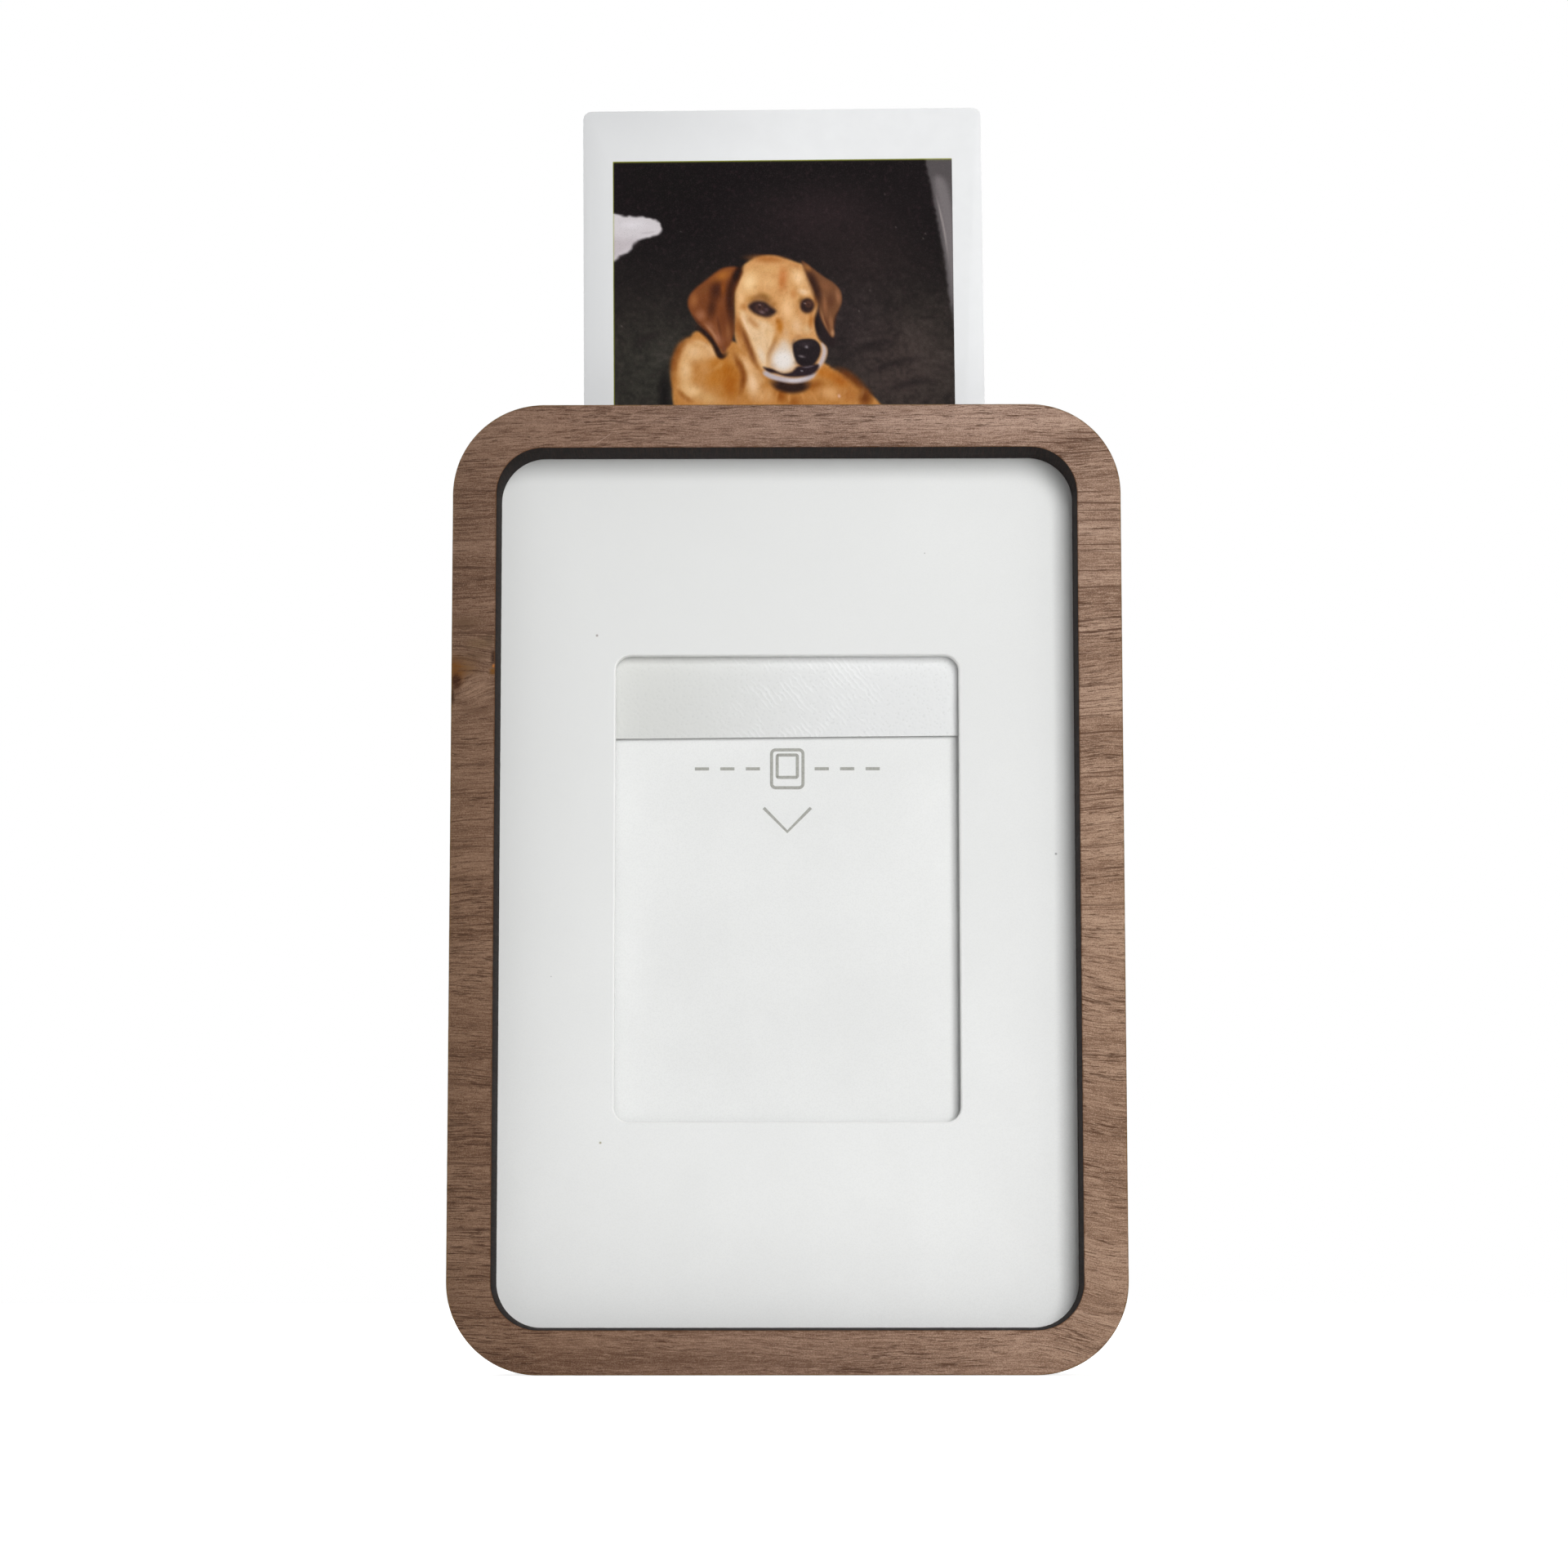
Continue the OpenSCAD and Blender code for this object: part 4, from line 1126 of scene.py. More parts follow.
ROOM_SPOTS = (
    ((28, 8), (18, 8), (45, 34, 36), 0.85), ((34, 14), (14, 8), (42, 33, 33), 0.8),
    ((5, 30), (15, 14), (54, 53, 47), 0.8), ((38, 29), (13, 13), (74, 62, 59), 0.8),
    ((31, 23), (10, 9), (48, 39, 40), 0.8), ((8, 3), (16, 8), (14, 9, 11), 0.9),
    ((40, 4), (7, 7), (24, 17, 19), 0.7), ((20, 12), (10, 4), (34, 26, 27), 0.7),
)
FOLDS = (
    ((31.5, 27.2), (35.5, 25.6), (39.5, 25.2)), ((33, 30.2), (38, 28.2), (43.5, 27.4)),
    ((35.5, 32.6), (40, 31), (45, 30.6)), ((2, 26), (4.6, 24.4), (7.5, 23.4)),
)
CUSHION = (
    (-0.6, 7.6), (1.8, 7.6), (4.4, 7.75), (5.9, 8.2), (6.6, 9.2), (6.3, 10.1), (4.8, 10.6), (3.1, 11.2),
    (2.2, 12.4), (0.9, 13.1), (-0.6, 13.8),
)
CUSHION_SHADE = ((-0.6, 10.6), (1.4, 10.8), (3.2, 10.8), (2, 12.2), (1, 12.9), (-0.6, 13.6))
WALL = (
    (42.6, -1), (47, -1), (47, 25.5), (46.2, 24.2), (45.8, 21.8), (45.3, 18.6), (44.8, 13.9), (44, 9.1),
    (43.2, 4.3),
)
WALL_LIGHT = ((43.6, 3), (45.2, 3.4), (46.2, 9), (46.4, 17), (46, 20), (45.4, 16), (44.6, 9))
FLECKS = ((36.9, 4.9), (38.3, 9.5), (42.3, 10.4), (42, 11.1), (34.7, 18.2), (9.2, 9.8), (1.1, 22.8), (33.2, 21))


def paint_room(art):
    """A dark sofa in a dark room, with a pale cushion at the left and a grey wall at the right."""
    x, y = art.across, art.down
    everywhere = np.arange(len(x))
    art.colours[:] = (18, 13, 14)
    art.lay(everywhere, softly((y - 9) / 17) * 0.9, (50, 45, 41))
    art.spots(ROOM_SPOTS)
    cloth = value_noise(x, y, 0.4, 11) * 0.4 + value_noise(x, y * 1.5, 1.1, 12) * 0.3
    cloth = cloth + value_noise(x, y, 3.4, 13) * 0.3
    art.lay(everywhere, np.clip(0.52 - cloth, 0, 1) * 0.8, (8, 5, 6))
    art.lay(everywhere, np.clip(cloth - 0.55, 0, 1) * softly((y - 8) / 16) * 0.8, (104, 94, 90))
    for line in FOLDS:
        art.stroke(line, 1.8, (30, 24, 24), 0.55)
    art.patch(CUSHION, (212, 206, 209), soft=0.5, ragged=0.1)
    art.patch(CUSHION_SHADE, (186, 176, 180), soft=1.6, strength=0.6)
    art.spot((2.6, 8.8), (2.8, 0.9), (226, 221, 225), 0.8)
    art.stroke(((3.2, 10.0), (4.8, 9.9), (6.0, 9.7)), 0.5, (176, 168, 172), 0.5)
    art.patch(WALL, (88, 83, 84), soft=0.6, ragged=0.1)
    art.patch(WALL_LIGHT, (132, 126, 127), soft=1.2, strength=0.75)
    art.stroke(((43.6, 4.2), (44.3, 7.2), (45.0, 11.0), (45.6, 16.0)), 0.5, (170, 161, 160), 0.7)
    for place in FLECKS:
        art.spot(place, (0.2, 0.2), (116, 108, 106), 0.6)


GROUND_SPOTS = (((22, 50), (21, 6.5), (12, 9, 9), 0.95), ((37, 45), (8, 6), (14, 11, 11), 0.8))
TAIL_STROKES = (
    (((38.2, 41.5), (40.4, 45), (39.6, 48.6), (35.6, 50.6), (31, 50.8)), 4.4, (150, 94, 44), 1),
    (((38.6, 42), (40.2, 45), (39.2, 48), (35.4, 49.9), (32, 50.2)), 2.2, (206, 150, 88), 0.9),
)
BODY = (
    (11.7, 23.6), (10.4, 24.3), (9.2, 25.2), (8.6, 26.2), (8.2, 27.2), (7.9, 28.6), (7.8, 30), (7.9, 32),
    (8.2, 34.5), (8.6, 38), (9.6, 41.5), (13.5, 44.4), (20, 45.6), (28, 46.2), (34.5, 46), (38.4, 43.6),
    (39.4, 40), (37.4, 35.6), (34.8, 32.6), (33.4, 31.3), (32.1, 30.3), (30.8, 29.5), (29.4, 28.8),
    (28.4, 28.2), (25, 28), (20, 26.4), (16, 25),
)
BODY_SPOTS = (
    ((10.9, 26.4), (2.9, 2.4), (232, 190, 142), 1), ((13.2, 26.4), (2.4, 1.8), (228, 182, 132), 0.95),
    ((9.7, 29), (1.6, 3.3), (236, 194, 144), 1), ((10.6, 31.8), (2.9, 1.8), (238, 196, 144), 1, 20),
    ((12.8, 33), (2.8, 1.5), (218, 172, 116), 0.85, 15), ((12.6, 28.6), (1.8, 1.3), (206, 148, 88), 0.8),
    ((15, 29), (3, 2.3), (178, 106, 30), 1, 35), ((15.8, 31), (2.4, 2.8), (172, 98, 26), 0.95),
    ((13.6, 30.2), (1.9, 1.6), (190, 120, 44), 0.8), ((14.2, 28.2), (2.2, 1.4), (190, 122, 50), 0.7),
    ((18.8, 30.8), (1.6, 3.4), (244, 204, 162), 1, -8), ((17.9, 28.2), (1.1, 2.2), (232, 184, 136), 1, -32),
    ((20.4, 32.6), (2, 1.7), (222, 170, 116), 0.9), ((19.6, 29.9), (0.9, 1.7), (214, 164, 112), 0.8, -30),
    ((22.6, 32.5), (1.4, 1.8), (154, 86, 28), 0.95), ((24.4, 33.4), (1.7, 1.3), (150, 86, 32), 0.85),
    ((26.6, 32.7), (2.1, 1.5), (196, 134, 74), 0.9), ((27.2, 31.2), (2, 1.1), (150, 84, 28), 0.9, -10),
    ((28.6, 29.5), (2.8, 1.2), (190, 116, 44), 1, 22), ((30.6, 30.7), (2.3, 1.3), (178, 104, 38), 0.95, 32),
    ((29.2, 32.3), (2.8, 1.4), (220, 164, 108), 1, 12), ((31.9, 32.6), (2.2, 1.3), (180, 114, 56), 0.9, 20),
    ((33.9, 33), (1.5, 2), (112, 60, 22), 0.95),
)
BODY_STROKES = (
    (((12, 23.7), (9.6, 25), (8.5, 26.8), (8, 29.2), (8.1, 33.5)), 1.8, (140, 82, 36), 0.9),
    (((28.6, 28.4), (31.2, 29.5), (33.2, 31.2), (35.4, 33.6)), 2, (108, 58, 22), 0.9),
    (((15.9, 25.6), (16.6, 27.4), (17.5, 29.4), (17.3, 31.4), (16.7, 33.6)), 1.6, (134, 74, 26), 0.95),
    (((15, 27.4), (14.2, 28.4), (12.6, 29.3)), 1.1, (206, 150, 86), 0.6),
    (((8.4, 31.2), (9.4, 32.5), (11.2, 33.7)), 1.2, (158, 98, 46), 0.8),
    (((10.4, 24.9), (12.2, 25.4), (13.8, 26.9)), 1, (232, 192, 146), 0.6),
)
# Hairs of the chest: place across, and how far each leans
CHEST_HAIRS = ((21, -1.1), (22.2, -0.5), (23.6, 0.1), (25.1, 0.9), (26.2, 1.6))


def paint_dog_body(art):
    """A tan dog lies curled up, its back to the right."""
    art.stroke(((7.2, 27.0), (6.8, 31.0), (7.1, 35.5), (8.4, 42.0)), 2.6, (12, 9, 9), 0.8)
    art.spots(GROUND_SPOTS)
    art.strokes(TAIL_STROKES)
    art.patch(BODY, (196, 136, 74), soft=0.6, ragged=0.08)
    art.spots(BODY_SPOTS)
    art.strokes(BODY_STROKES)
    for x, lean in CHEST_HAIRS:
        art.stroke(((x, 31.6), (x + lean / 2, 32.7), (x + lean, 34.2)), 0.7, (210, 150, 88), 0.65)
    art.spot((30.4, 32.7), (0.3, 0.4), (244, 206, 196), 0.8)
    paint_dog_legs(art)
    fur(art, ((7, 23), (42, 55)), 0.3, 7)


LEG_SPOTS = (
    ((25, 38), (5.5, 5.5), (158, 98, 44), 0.85), ((24.6, 43), (4.6, 4.2), (92, 52, 24), 0.95),
    ((32.4, 38.4), (6.4, 5.4), (214, 156, 94), 0.9, 12), ((33.6, 42), (5.8, 4.6), (200, 142, 80), 0.85),
    ((34.6, 36.6), (3.4, 2.4), (228, 176, 116), 0.75, 24), ((37.6, 40.6), (2, 3.8), (148, 90, 42), 0.8, -12),
    ((14.6, 37.4), (4.6, 4.4), (232, 188, 134), 0.8), ((15.4, 41.6), (2.4, 4.4), (246, 222, 190), 0.75),
    ((20.8, 37.6), (2.6, 4.6), (176, 116, 58), 0.8), ((9.4, 37.8), (1.5, 5), (160, 102, 50), 0.8),
    ((27.4, 34.2), (4.6, 1.8), (190, 130, 70), 0.6, 10),
)
LEG_STROKES = (
    (((27.4, 37), (26.4, 40.4), (27.2, 43.8), (30.4, 46.2)), 1.6, (96, 54, 24), 0.9),
    (((28.6, 36.2), (31.6, 34.9), (35, 35.4)), 1.2, (168, 108, 54), 0.6),
    (((17.4, 35), (18, 38.6), (17.8, 42)), 1.2, (150, 92, 44), 0.7),
    (((11.4, 35.4), (11.8, 38.8), (12, 42.4)), 1.1, (184, 126, 70), 0.6),
)
# Each leg's outline, and the middle of its paw
PAWS = (
    (((27.6, 44.8), (31.4, 44.4), (34.6, 45.4), (35.2, 47.4), (33, 48.6), (28.4, 48.5), (26.2, 47.2)),
     (29.4, 46.8)),
    (((16.4, 39.2), (20.6, 39.4), (22, 42.8), (22.2, 46.8), (23, 50), (22, 52.2), (18.8, 52.8), (16.6, 51.6),
      (16.6, 48.4), (16.2, 44)), (19.6, 50.4)),
    (((9.2, 39), (13.4, 39.4), (13.8, 43.2), (13.4, 47), (13.6, 49.4), (12.4, 51.4), (9.4, 51.8), (7.2, 50.6),
      (7.4, 47.6), (8.6, 44)), (10.4, 49.4)),
)


def paint_dog_legs(art):
    """The dog's flank, haunch, chest and paws, which the frame hides until the print is lowered or taken out."""
    art.spots(LEG_SPOTS)
    art.strokes(LEG_STROKES)
    for outline, end in PAWS:
        paint_paw(art, outline, end)


def paint_paw(art, outline, end):
    """A leg in its own outline, paler towards the paw at its end, with three lines between the toes."""
    art.patch([(x + 0.7, y + 0.7) for x, y in outline], (26, 17, 13), soft=1.6, strength=0.85)
    art.patch(outline, (206, 150, 92), soft=0.7, ragged=0.08)
    middle = np.mean(outline, 0)
    art.spot(tuple(middle + (-0.5, 0)), (1.5, 4.6), (232, 188, 136), 0.75)
    art.spot(end, (3.2, 2.4), (244, 218, 184), 0.95)
    for shift in (-1.5, 0.0, 1.5):
        line = [(end[0] + shift * across, end[1] + down) for across, down in ((0.8, 0.1), (1, 1), (1.1, 1.8))]
        art.stroke(line, 0.5, (96, 58, 34), 0.8, fade=0.3)


def fur(art, box, strength, seed):
    """Darkens and lightens the tan parts with fine short hair."""
    chosen = art.near(*box)
    x, y = art.across[chosen], art.down[chosen]
    tan = softly((art.colours[chosen, 0] - art.colours[chosen, 2] - 25) / 50)
    hair = value_noise(x + y * 0.4, y * 0.6, 0.24, seed) * 0.45 + value_noise(x, y, 0.8, seed + 1) * 0.55
    art.lay(chosen, np.clip(0.5 - hair, 0, 1) * tan * strength, (120, 66, 22))
    art.lay(chosen, np.clip(hair - 0.5, 0, 1) * tan * strength, (244, 208, 160))


NEAR_EAR_SHADE = ((10.4, 22.2), (12.4, 23.8), (13.6, 25.2), (14.5, 27), (15.8, 26.2))
NEAR_EAR = (
    (16, 14.7), (17, 14.9), (17.5, 15.6), (16.9, 17.1), (16.4, 18.3), (16.2, 20), (16.2, 21.9), (16.3, 23.3),
    (16, 25), (15.4, 26), (14.8, 26.7), (14.3, 25.9), (13.6, 24.8), (12.6, 23.6), (11.5, 22.6), (10.6, 21.3),
    (10.1, 20.1), (10.2, 18.9), (11, 17.8), (12.2, 16.8), (13.6, 15.7), (14.7, 15),
)
NEAR_EAR_SPOTS = (
    ((14.6, 16.1), (2.4, 1.2), (172, 106, 48), 1, -32), ((12.4, 17.8), (1.7, 0.9), (122, 74, 40), 0.8, -38),
    ((10.9, 19.3), (0.9, 1.6), (158, 100, 58), 0.9, 8), ((12.2, 19.6), (0.9, 1.6), (116, 66, 36), 0.8, 5),
    ((13.9, 18), (1.5, 2.4), (66, 33, 17), 0.95, 10), ((13.3, 20.4), (1.1, 2.5), (72, 38, 21), 0.9, 8),
    ((14.9, 17.6), (0.6, 1.8), (138, 76, 32), 0.85), ((14.9, 22), (1, 2.6), (112, 62, 34), 0.9),
    ((11.8, 21.4), (1.1, 1.2), (160, 106, 76), 0.9, -35), ((13.1, 22.9), (1.5, 0.8), (150, 98, 72), 0.85, 42),
    ((14.2, 24.6), (0.9, 1.7), (158, 104, 78), 0.9, -12), ((15.5, 23.8), (0.6, 2), (144, 92, 58), 0.85),
    ((14.9, 26), (0.4, 0.8), (120, 74, 50), 0.8),
)
NEAR_EAR_STROKES = (
    (((17.6, 14.4), (16.5, 16.2), (15.8, 18.4), (15.9, 21.6), (16.4, 25.4)), 2.1, (54, 26, 12), 0.9),
    (((17.8, 14.2), (16.8, 15.6), (16.2, 17.6)), 1.7, (30, 13, 6), 0.95),
    (((13.9, 21), (14.3, 23), (14.7, 25.6)), 0.7, (84, 46, 28), 0.5),
    (((12, 22.2), (13.4, 23.8), (14.4, 25.8)), 0.8, (184, 132, 98), 0.75),
    (((10.4, 20.8), (11.6, 22.5), (13, 24)), 0.6, (88, 50, 32), 0.7),
)
FAR_EAR_SHADE = (
    (27.7, 20.4), (27.3, 22.4), (27.5, 24.2), (28.3, 25.4), (29.6, 25.9), (30.2, 24.9), (29.2, 23.6),
    (28.4, 22), (28, 20.6),
)
FAR_EAR = (
    (25.5, 14.1), (26.2, 14.4), (27.3, 15.3), (28.6, 16.3), (29.8, 17.1), (30.7, 18.2), (30.9, 19.5),
    (30.5, 20.8), (30, 21.8), (29.8, 23), (29.8, 24.4), (29.4, 24.5), (28.8, 23.6), (28.2, 22.4), (27.8, 21.2),
    (27.7, 19.9), (27.4, 18.6), (26.8, 17.2), (26.1, 15.8),
)
FAR_EAR_SPOTS = (
    ((26.3, 15.1), (1, 0.6), (190, 128, 72), 0.95, 52), ((28.7, 17.5), (1.4, 1), (134, 88, 60), 0.9, 35),
    ((29.4, 19.6), (0.9, 1.8), (98, 60, 40), 0.85), ((30.4, 19), (0.6, 1.6), (156, 108, 78), 0.9, -8),
    ((28.6, 20.2), (0.5, 2.2), (148, 98, 68), 0.85, -6), ((29.4, 22.6), (0.45, 1.8), (152, 104, 72), 0.9, -5),
    ((28.8, 22.6), (0.4, 1.4), (104, 62, 42), 0.8, -18), ((29.6, 24), (0.4, 0.8), (190, 142, 104), 0.9),
)
FAR_EAR_STROKES = (
    (((25.5, 14), (26.8, 16.4), (27.6, 18.6), (28, 21.4)), 2, (56, 32, 22), 1),
    (((30.6, 20.4), (30, 22), (29.9, 24)), 0.5, (70, 42, 28), 0.7),
    (((27.9, 20), (28.4, 22.2), (29.2, 24.2)), 0.5, (170, 120, 84), 0.6),
)


def paint_dog_ears(art):
    art.stroke(NEAR_EAR_SHADE, 1.4, (40, 22, 14), 1.0, soft=0.8, fade=0.25)
    art.patch(NEAR_EAR, (126, 72, 40), soft=0.5)
    art.spots(NEAR_EAR_SPOTS)
    art.strokes(NEAR_EAR_STROKES)
    art.patch(FAR_EAR_SHADE, (40, 30, 31), soft=0.7)
    art.stroke(((27.6, 20.8), (27.5, 22.8), (28.2, 24.8)), 0.9, (24, 15, 15), 0.85)
    art.patch(FAR_EAR, (120, 80, 54), soft=0.45)
    art.spots(FAR_EAR_SPOTS)
    art.strokes(FAR_EAR_STROKES)


HEAD = (
    (17.2, 15.1), (18.5, 13.9), (20.1, 13.3), (21.8, 13.25), (23.4, 13.7), (24.8, 14.2), (25.8, 14.6),
    (26.4, 15.7), (26.9, 17.2), (27.5, 18.8), (27.8, 20.4), (27.5, 21.8), (27.3, 23.2), (27.8, 24.6),
    (28.7, 25.8), (28.8, 27), (28.2, 28.4), (27.4, 29.6), (26.4, 30.6), (24.6, 31), (22.8, 30.6), (21.2, 29.9),
    (19.9, 28.8), (18.4, 27.2), (17.2, 26.2), (16.4, 24.4), (16.4, 22), (16.3, 19.4), (16.5, 17.2),
)
HEAD_SPOTS = (
    ((20.9, 13.7), (4.2, 0.9), (180, 116, 62), 0.9, 4), ((24.6, 14.7), (1.5, 0.7), (196, 136, 82), 0.7, 25),
    ((20.4, 15.2), (2.6, 1.2), (218, 168, 112), 0.9), ((18.4, 16.9), (2, 2.5), (246, 208, 156), 1, 22),
    ((17.2, 19), (0.9, 2.4), (236, 190, 138), 0.95), ((20.9, 17), (1.7, 1.6), (230, 182, 128), 0.9),
    ((25, 16.3), (1.3, 2.2), (246, 206, 158), 1, -22), ((26.3, 17.7), (0.7, 1.4), (224, 176, 126), 0.9, -20),
    ((23, 16), (1, 2), (204, 132, 78), 0.9), ((22.8, 17), (0.7, 1.9), (196, 120, 64), 0.7, 6),
    ((23.3, 17.6), (0.4, 1.5), (200, 128, 74), 0.4, -8), ((24.3, 18.6), (0.7, 1), (196, 128, 70), 0.7),
    ((20.5, 18.9), (1.5, 0.8), (156, 110, 56), 0.9, 24), ((21.7, 20), (0.6, 0.8), (176, 122, 68), 0.85, 40),
    ((18.6, 19.2), (1.3, 0.7), (196, 144, 84), 0.85, -20), ((17.6, 20.4), (0.8, 1), (190, 130, 74), 0.85),
    ((25.7, 18.3), (1.2, 0.7), (246, 212, 174), 0.95, 18), ((25.3, 19.4), (0.5, 0.9), (150, 104, 56), 0.8, 25),
    ((27.4, 19.4), (0.5, 1.9), (156, 100, 56), 0.9), ((23.5, 20.6), (1.5, 2.8), (240, 194, 144), 1),
    ((24.8, 23), (1.3, 2.2), (232, 190, 146), 0.95, -12), ((26.2, 23.5), (1, 1.1), (222, 184, 140), 0.9),
    ((25, 24.5), (0.9, 0.6), (186, 132, 82), 0.8), ((26.7, 22.3), (0.6, 1.7), (176, 112, 54), 0.95, 6),
    ((25.6, 21.6), (0.8, 0.9), (214, 160, 108), 0.8), ((22.9, 22), (0.6, 1.3), (214, 160, 108), 0.7),
    ((16.9, 23.4), (1, 2.8), (168, 106, 54), 0.95, -12), ((17.8, 25.9), (1, 1.8), (188, 128, 70), 0.95, -30),
    ((23.3, 24.2), (0.9, 1.8), (222, 176, 130), 0.9),
)
CHEEK = (
    (17.2, 20.9), (18.4, 21.3), (19.6, 22), (20.8, 22.4), (21.6, 23.4), (21.5, 25.2), (21, 26.6), (20.8, 28.4),
    (20, 28.5), (19.1, 26.6), (18.4, 24.6), (17.6, 22.6),
)
CHEEK_SPOTS = (
    ((20, 27), (0.7, 1.9), (238, 214, 188), 0.9, -18), ((20.9, 24), (0.9, 1.5), (232, 192, 144), 0.8),
    ((22.5, 23), (0.75, 1.6), (188, 118, 44), 1), ((22.2, 22.3), (0.5, 0.7), (176, 108, 42), 0.8),
    ((21.9, 24.9), (0.6, 1.4), (200, 140, 74), 0.85, 18),
)
CHEEK_STROKES = (
    (((17.6, 20.6), (18.4, 21.9), (19.3, 22.9), (20.1, 23.7)), 1.6, (196, 138, 84), 0.7),
    (((22.4, 23.6), (21.7, 25.4), (21, 27), (20.7, 29)), 1.1, (176, 128, 84), 0.9),
    (((16.7, 21.6), (17.5, 23.6), (18.3, 25.8), (19.1, 27.9), (20.2, 29.4)), 1.4, (128, 74, 36), 0.95),
    (((17, 21), (17.9, 22.8), (18.7, 24.8)), 0.6, (244, 206, 170), 0.8),
    (((24.9, 24.4), (24.2, 25.2), (23.9, 26.4)), 0.6, (150, 112, 84), 0.7),
    (((27.5, 20.6), (27.2, 22.2), (27.5, 23.8)), 0.7, (134, 84, 44), 0.85),
)


def paint_dog_face(art):
    art.patch(HEAD, (214, 160, 104), soft=0.5)
    art.spots(HEAD_SPOTS)
    art.patch(CHEEK, (234, 198, 156), soft=1.0, strength=1.0)
    art.spots(CHEEK_SPOTS)
    art.strokes(CHEEK_STROKES)
    fur(art, ((16, 13), (29, 29)), 0.3, 21)


NEAR_LID = ((17.9, 20.5), (18.9, 19.3), (20, 19), (21.3, 19.9), (22.2, 21))
NEAR_EYE = (
    (18.25, 20.25), (18.8, 19.65), (19.6, 19.45), (20.5, 19.65), (21.2, 20.2), (22, 20.9), (21.5, 21.5),
    (20.7, 21.75), (19.7, 21.5), (18.8, 21),
)
NEAR_EYE_SPOTS = (
    ((19.75, 20.4), (0.95, 0.85), (92, 64, 58), 0.9), ((19.75, 20.4), (0.4, 0.4), (38, 25, 25), 0.85),
    ((20.1, 21.05), (0.7, 0.4), (124, 100, 102), 0.85, 15), ((20.7, 20.7), (0.5, 0.45), (96, 72, 78), 0.8),
    ((19.8, 20), (0.22, 0.16), (168, 140, 140), 0.8), ((21.4, 21), (0.5, 0.3), (30, 20, 20), 0.8, 25),
    ((26.3, 20.3), (1.6, 1.6), (150, 98, 56), 0.9),
)
FAR_EYE_SPOTS = (
    ((26.4, 20), (0.75, 0.75), (112, 74, 58), 0.95), ((26.4, 20.05), (0.34, 0.34), (42, 28, 28), 0.9),
    ((25.9, 19.9), (0.26, 0.2), (156, 130, 126), 0.85), ((26.4, 20.8), (0.5, 0.25), (66, 42, 34), 0.7),
)


def paint_dog_eyes(art):
    art.stroke(NEAR_LID, 1.5, (140, 94, 52), 0.7)
    art.patch(NEAR_EYE, (50, 34, 32), soft=0.7)
    art.spots(NEAR_EYE_SPOTS)
    art.spot((26.2, 20.2), (1.25, 1.35), (44, 28, 26), 1.0, hard=0.5)
    art.spots(FAR_EYE_SPOTS)


JAW = ((20.6, 30), (22.2, 31), (23.9, 31.5), (25.6, 31.2), (27, 30.2))
MUZZLE = (
    (22.8, 25), (23.5, 25.2), (24.1, 26), (24.5, 27.2), (24.6, 28.4), (23.9, 29.1), (22.9, 29.35), (21.9, 29),
    (21.3, 28.3), (21.2, 27.3), (21.6, 26.4), (22.2, 25.6),
)
FAR_LIP = (
    (28.1, 25.4), (28.6, 25.9), (28.75, 26.7), (28.4, 27.9), (27.7, 28.8), (27.4, 28.6), (27.9, 27.6),
    (28.2, 26.5),
)
CHIN = ((19.9, 29), (21.1, 29.8), (22.7, 30.3), (24.5, 30.5), (26.1, 30.2), (27.6, 29.2))
MOUTH = (
    (20.2, 28.65), (21, 28.8), (21.9, 29.15), (22.9, 29.5), (24, 29.3), (24.8, 28.6), (25.8, 28.5),
    (27.6, 28.3), (27.5, 29.1), (26.6, 29.75), (25, 30), (23.4, 29.95), (22.1, 29.55), (21, 29.3),
)
NOSE = (
    (24.2, 25.6), (24.7, 25.05), (25.6, 24.8), (26.8, 24.8), (27.6, 25.25), (28, 26.2), (27.7, 27.4),
    (26.9, 28.4), (25.6, 28.6), (24.7, 27.9), (24.3, 26.8),
)
NOSE_SPOTS = (
    ((25.9, 25.5), (1.5, 0.6), (58, 48, 52), 0.8), ((26.07, 25.9), (0.55, 0.4), (92, 84, 88), 0.85),
    ((26.07, 25.9), (0.24, 0.2), (176, 168, 172), 0.9), ((25.4, 27.2), (0.75, 0.3), (122, 112, 116), 0.9, 12),
    ((25.6, 28), (1.6, 0.7), (28, 19, 23), 0.8), ((25.4, 29.2), (0.26, 0.2), (150, 144, 150), 0.9),
)


def paint_dog_muzzle(art):
    art.stroke(JAW, 2.3, (46, 27, 20), 1.0, soft=0.75, fade=0.3)
    art.patch(MUZZLE, (226, 206, 186), soft=1.5)
    art.spot((22.9, 27.7), (1.9, 1.9), (240, 232, 226), 1.0, hard=0.3)
    art.spot((21.5, 28.4), (0.9, 0.6), (208, 186, 170), 0.5)
    art.patch(FAR_LIP, (204, 190, 190), soft=0.5)
    art.stroke(CHIN, 1.15, (198, 186, 190), 1.0, soft=0.8, fade=0.12)
    art.stroke(((22.6, 30.3), (24.5, 30.5), (26.6, 30.05)), 0.6, (222, 214, 218), 0.8)
    art.patch(MOUTH, (42, 30, 36), soft=0.45)
    art.spot((21.2, 29.05), (1.0, 0.4), (38, 24, 26), 0.9, turn=14)
    art.patch(NOSE, (36, 28, 31), soft=0.4)
    art.spots(NOSE_SPOTS)
    art.stroke(((25.1, 28.75), (26.3, 28.65), (27.4, 28.4)), 0.4, (116, 106, 114), 0.8)


def paint_edges(art):
    """Thin greenish lines along the film's left and upper edge."""
    art.stroke(((-0.05, -0.5), (-0.05, 30), (-0.05, 63)), 0.5, (158, 164, 70), 0.9, soft=0.8, fade=0)
    art.stroke(((-0.5, -0.02), (23, -0.02), (47, -0.02)), 0.5, (182, 190, 84), 0.9, soft=0.8, fade=0)


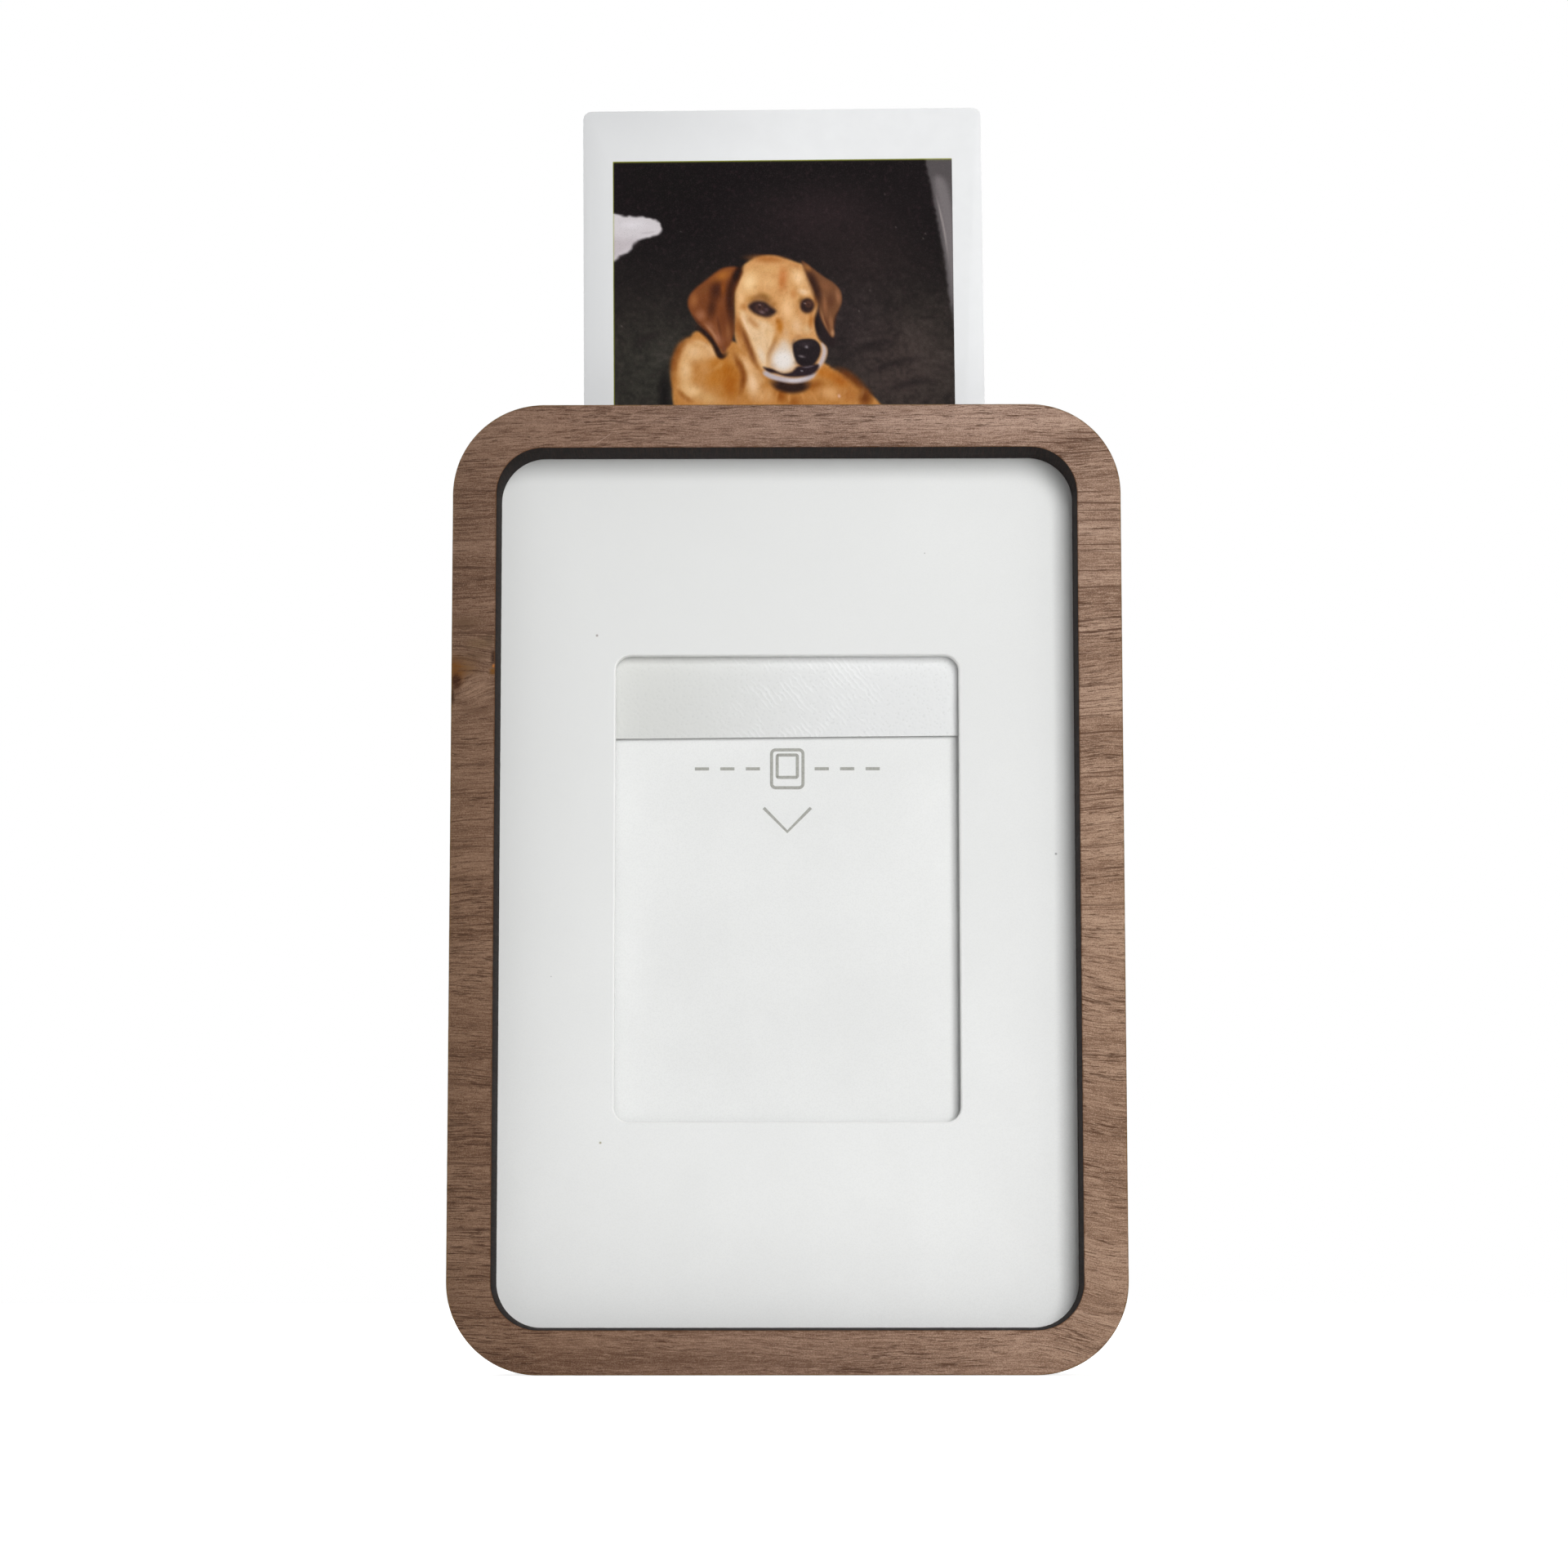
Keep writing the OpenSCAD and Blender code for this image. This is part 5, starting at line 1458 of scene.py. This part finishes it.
PICTURE_PARTS = (
    paint_room, paint_dog_body, paint_dog_face, paint_dog_ears, paint_dog_eyes, paint_dog_muzzle, paint_edges,
)


def picture_axes():
    """Upper left corner of the picture's face, its directions right and down, and its size."""
    spots = [vertex.co for vertex in NODES["print_picture"].data.vertices]
    front = min(spot.y for spot in spots)
    upper_left = min(spots, key=lambda spot: spot.x - spot.z)
    upper_right = max(spots, key=lambda spot: spot.x + spot.z)
    lower_left = min(spots, key=lambda spot: spot.x + spot.z)
    corner, right, down = (Vector((spot.x, front, spot.z)) for spot in (upper_left, upper_right, lower_left))
    right, down = right - corner, down - corner
    return corner, (right.normalized(), down.normalized()), right.length, down.length


def picture_grid(width, height):
    """Steps across and down the picture: fine where the slot leaves it in view, and coarser below."""
    across = np.linspace(0, width / MM, round(width / MM / PICTURE_STEP) + 1)
    fine = np.linspace(0, PICTURE_SEEN, round(PICTURE_SEEN / PICTURE_STEP) + 1)
    rest = height / MM - PICTURE_SEEN
    coarse = np.linspace(PICTURE_SEEN, height / MM, round(rest / PICTURE_COARSE) + 1)[1:]
    return across, np.concatenate((fine, coarse))


def painted(across, below):
    """The picture's colours at these points."""
    art = Painter(across, below)
    for paint in PICTURE_PARTS:
        paint(art)
    return np.clip(art.colours * DEEPER_SCALE - DEEPER_STEP, 2, 255)


def slab(name, face, wide, tall, deep):
    """A mesh with a fine face, plain walls and a back of one face, and the face's rim."""
    cell = np.arange(wide * tall).reshape(tall, wide)
    quads = np.stack((cell[:-1, :-1], cell[1:, :-1], cell[1:, 1:], cell[:-1, 1:]), -1).reshape(-1, 4).tolist()
    rim = [*cell[0, :-1], *cell[:-1, -1], *cell[-1, :0:-1], *cell[:0:-1, 0]]
    back = len(face) + np.arange(len(rim))
    quads += [[rim[i], rim[(i + 1) % len(rim)], back[(i + 1) % len(rim)], back[i]] for i in range(len(rim))]
    mesh = bpy.data.meshes.new(name)
    mesh.from_pydata(np.vstack((face, face[rim] + deep)).tolist(), [], quads + [back.tolist()])
    return mesh, rim


def make_picture(film):
    corner, (right, down), width, height = picture_axes()
    columns, rows = picture_grid(width, height)
    across, below = (part.ravel() for part in np.meshgrid(columns, rows))
    face = np.array(corner) + (np.outer(across, right) + np.outer(below, down)) * MM
    low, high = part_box("print_picture")
    mesh, rim = slab("dog_picture", face, len(columns), len(rows), np.array((0, high.y - low.y, 0)))
    tones = painted(across, below)
    shown = linear(np.vstack((tones, tones[rim])))
    colours = mesh.attributes.new("picture_colour", "FLOAT_COLOR", "POINT")
    colours.data.foreach_set("color", np.hstack((shown, np.ones((len(shown), 1)))).astype(np.float32).ravel())
    mesh.materials.append(film)
    check = bmesh.new()
    check.from_mesh(mesh)
    bmesh.ops.recalc_face_normals(check, faces=check.faces)
    check.to_mesh(mesh)
    check.free()
    new_piece("dog_picture", mesh, "print", "print_picture", "print_picture")


# ---------------------------------------------------------------------------------------------
# Everything in its place
# ---------------------------------------------------------------------------------------------

def dress(material, *nodes):
    """Gives CAD nodes, whose shape is right as it is, a finish."""
    for node in nodes:
        NODES[node].data.materials.clear()
        NODES[node].data.materials.append(material)


place_camera()
place_lamps()
light_the_world()
lay_floor()

walnut_skin = walnut()
zinc = steel("zinc_steel", (176, 178, 182), 0.36, (3.0, 3.0, 3.0))
ground = steel("ground_steel", (186, 187, 190), 0.24, (6.0, 6.0, 0.2))
wire = steel("spring_wire", (162, 163, 167), 0.3, (2.0, 2.0, 8.0))
cover_white = white_plastic("cover_white", (234, 235, 234), 3.2, 0.05)
panel_white = white_plastic("panel_white", (236, 237, 236), 5.0, 0.012)
carrier_grey = white_plastic("carrier_grey", (206, 207, 206), 4.0, 0.02)
button_white = white_plastic("button_white", (232, 233, 232), 6.0, 0.006, 0.3)

sweep = flat_sweep_tree()
make_ring(sweep, walnut_skin)
make_marks(sweep, grey_ink())
make_softened(
    ("box_front", "front_shell", 0.22, 3, mat_white(), "housing", "white_shell"),
    ("box_back", "rear_cover", 0.3, 3, cover_white, "housing", "white_cover"),
    ("lift_panel", "lift_chassis", 0.08, 2, panel_white, "housing", "white_chassis"),
)
coil = wire_coil_tree()
make_lift_springs(coil, wire)
make_return_spring(coil, wire)
make_screws(screw_set_tree(), zinc)
make_picture(picture_film())

make_softened(
    ("carrier_plate", "lift_carrier", 0.15, 2, carrier_grey, "carrier", "grey_carrier"),
    ("finger_tab", "thumb_tab", 0.3, 3, button_white, "carrier", "white_button"),
    ("latch_arm", "latch_lever", 0.15, 2, carrier_grey, "latch", "grey_carrier"),
    ("push_button", "release_button", 0.4, 3, button_white, "button", "white_button"),
    ("white_border", "print_border", 0.04, 2, border_film(), "print", "print_border"),
    ("black_back", "print_back_sheet", 0.04, 2, back_film(), "print", "print_back"),
)
dress(ground, "guide_rod_left", "guide_rod_right", "latch_pin")
dress(dark_matte("stop_rubber", (34, 34, 35), 0.8, 5.0), "stop_washers")
dress(dark_matte("ring_tape_skin", (44, 43, 42), 0.85, 3.0), "ring_tape")
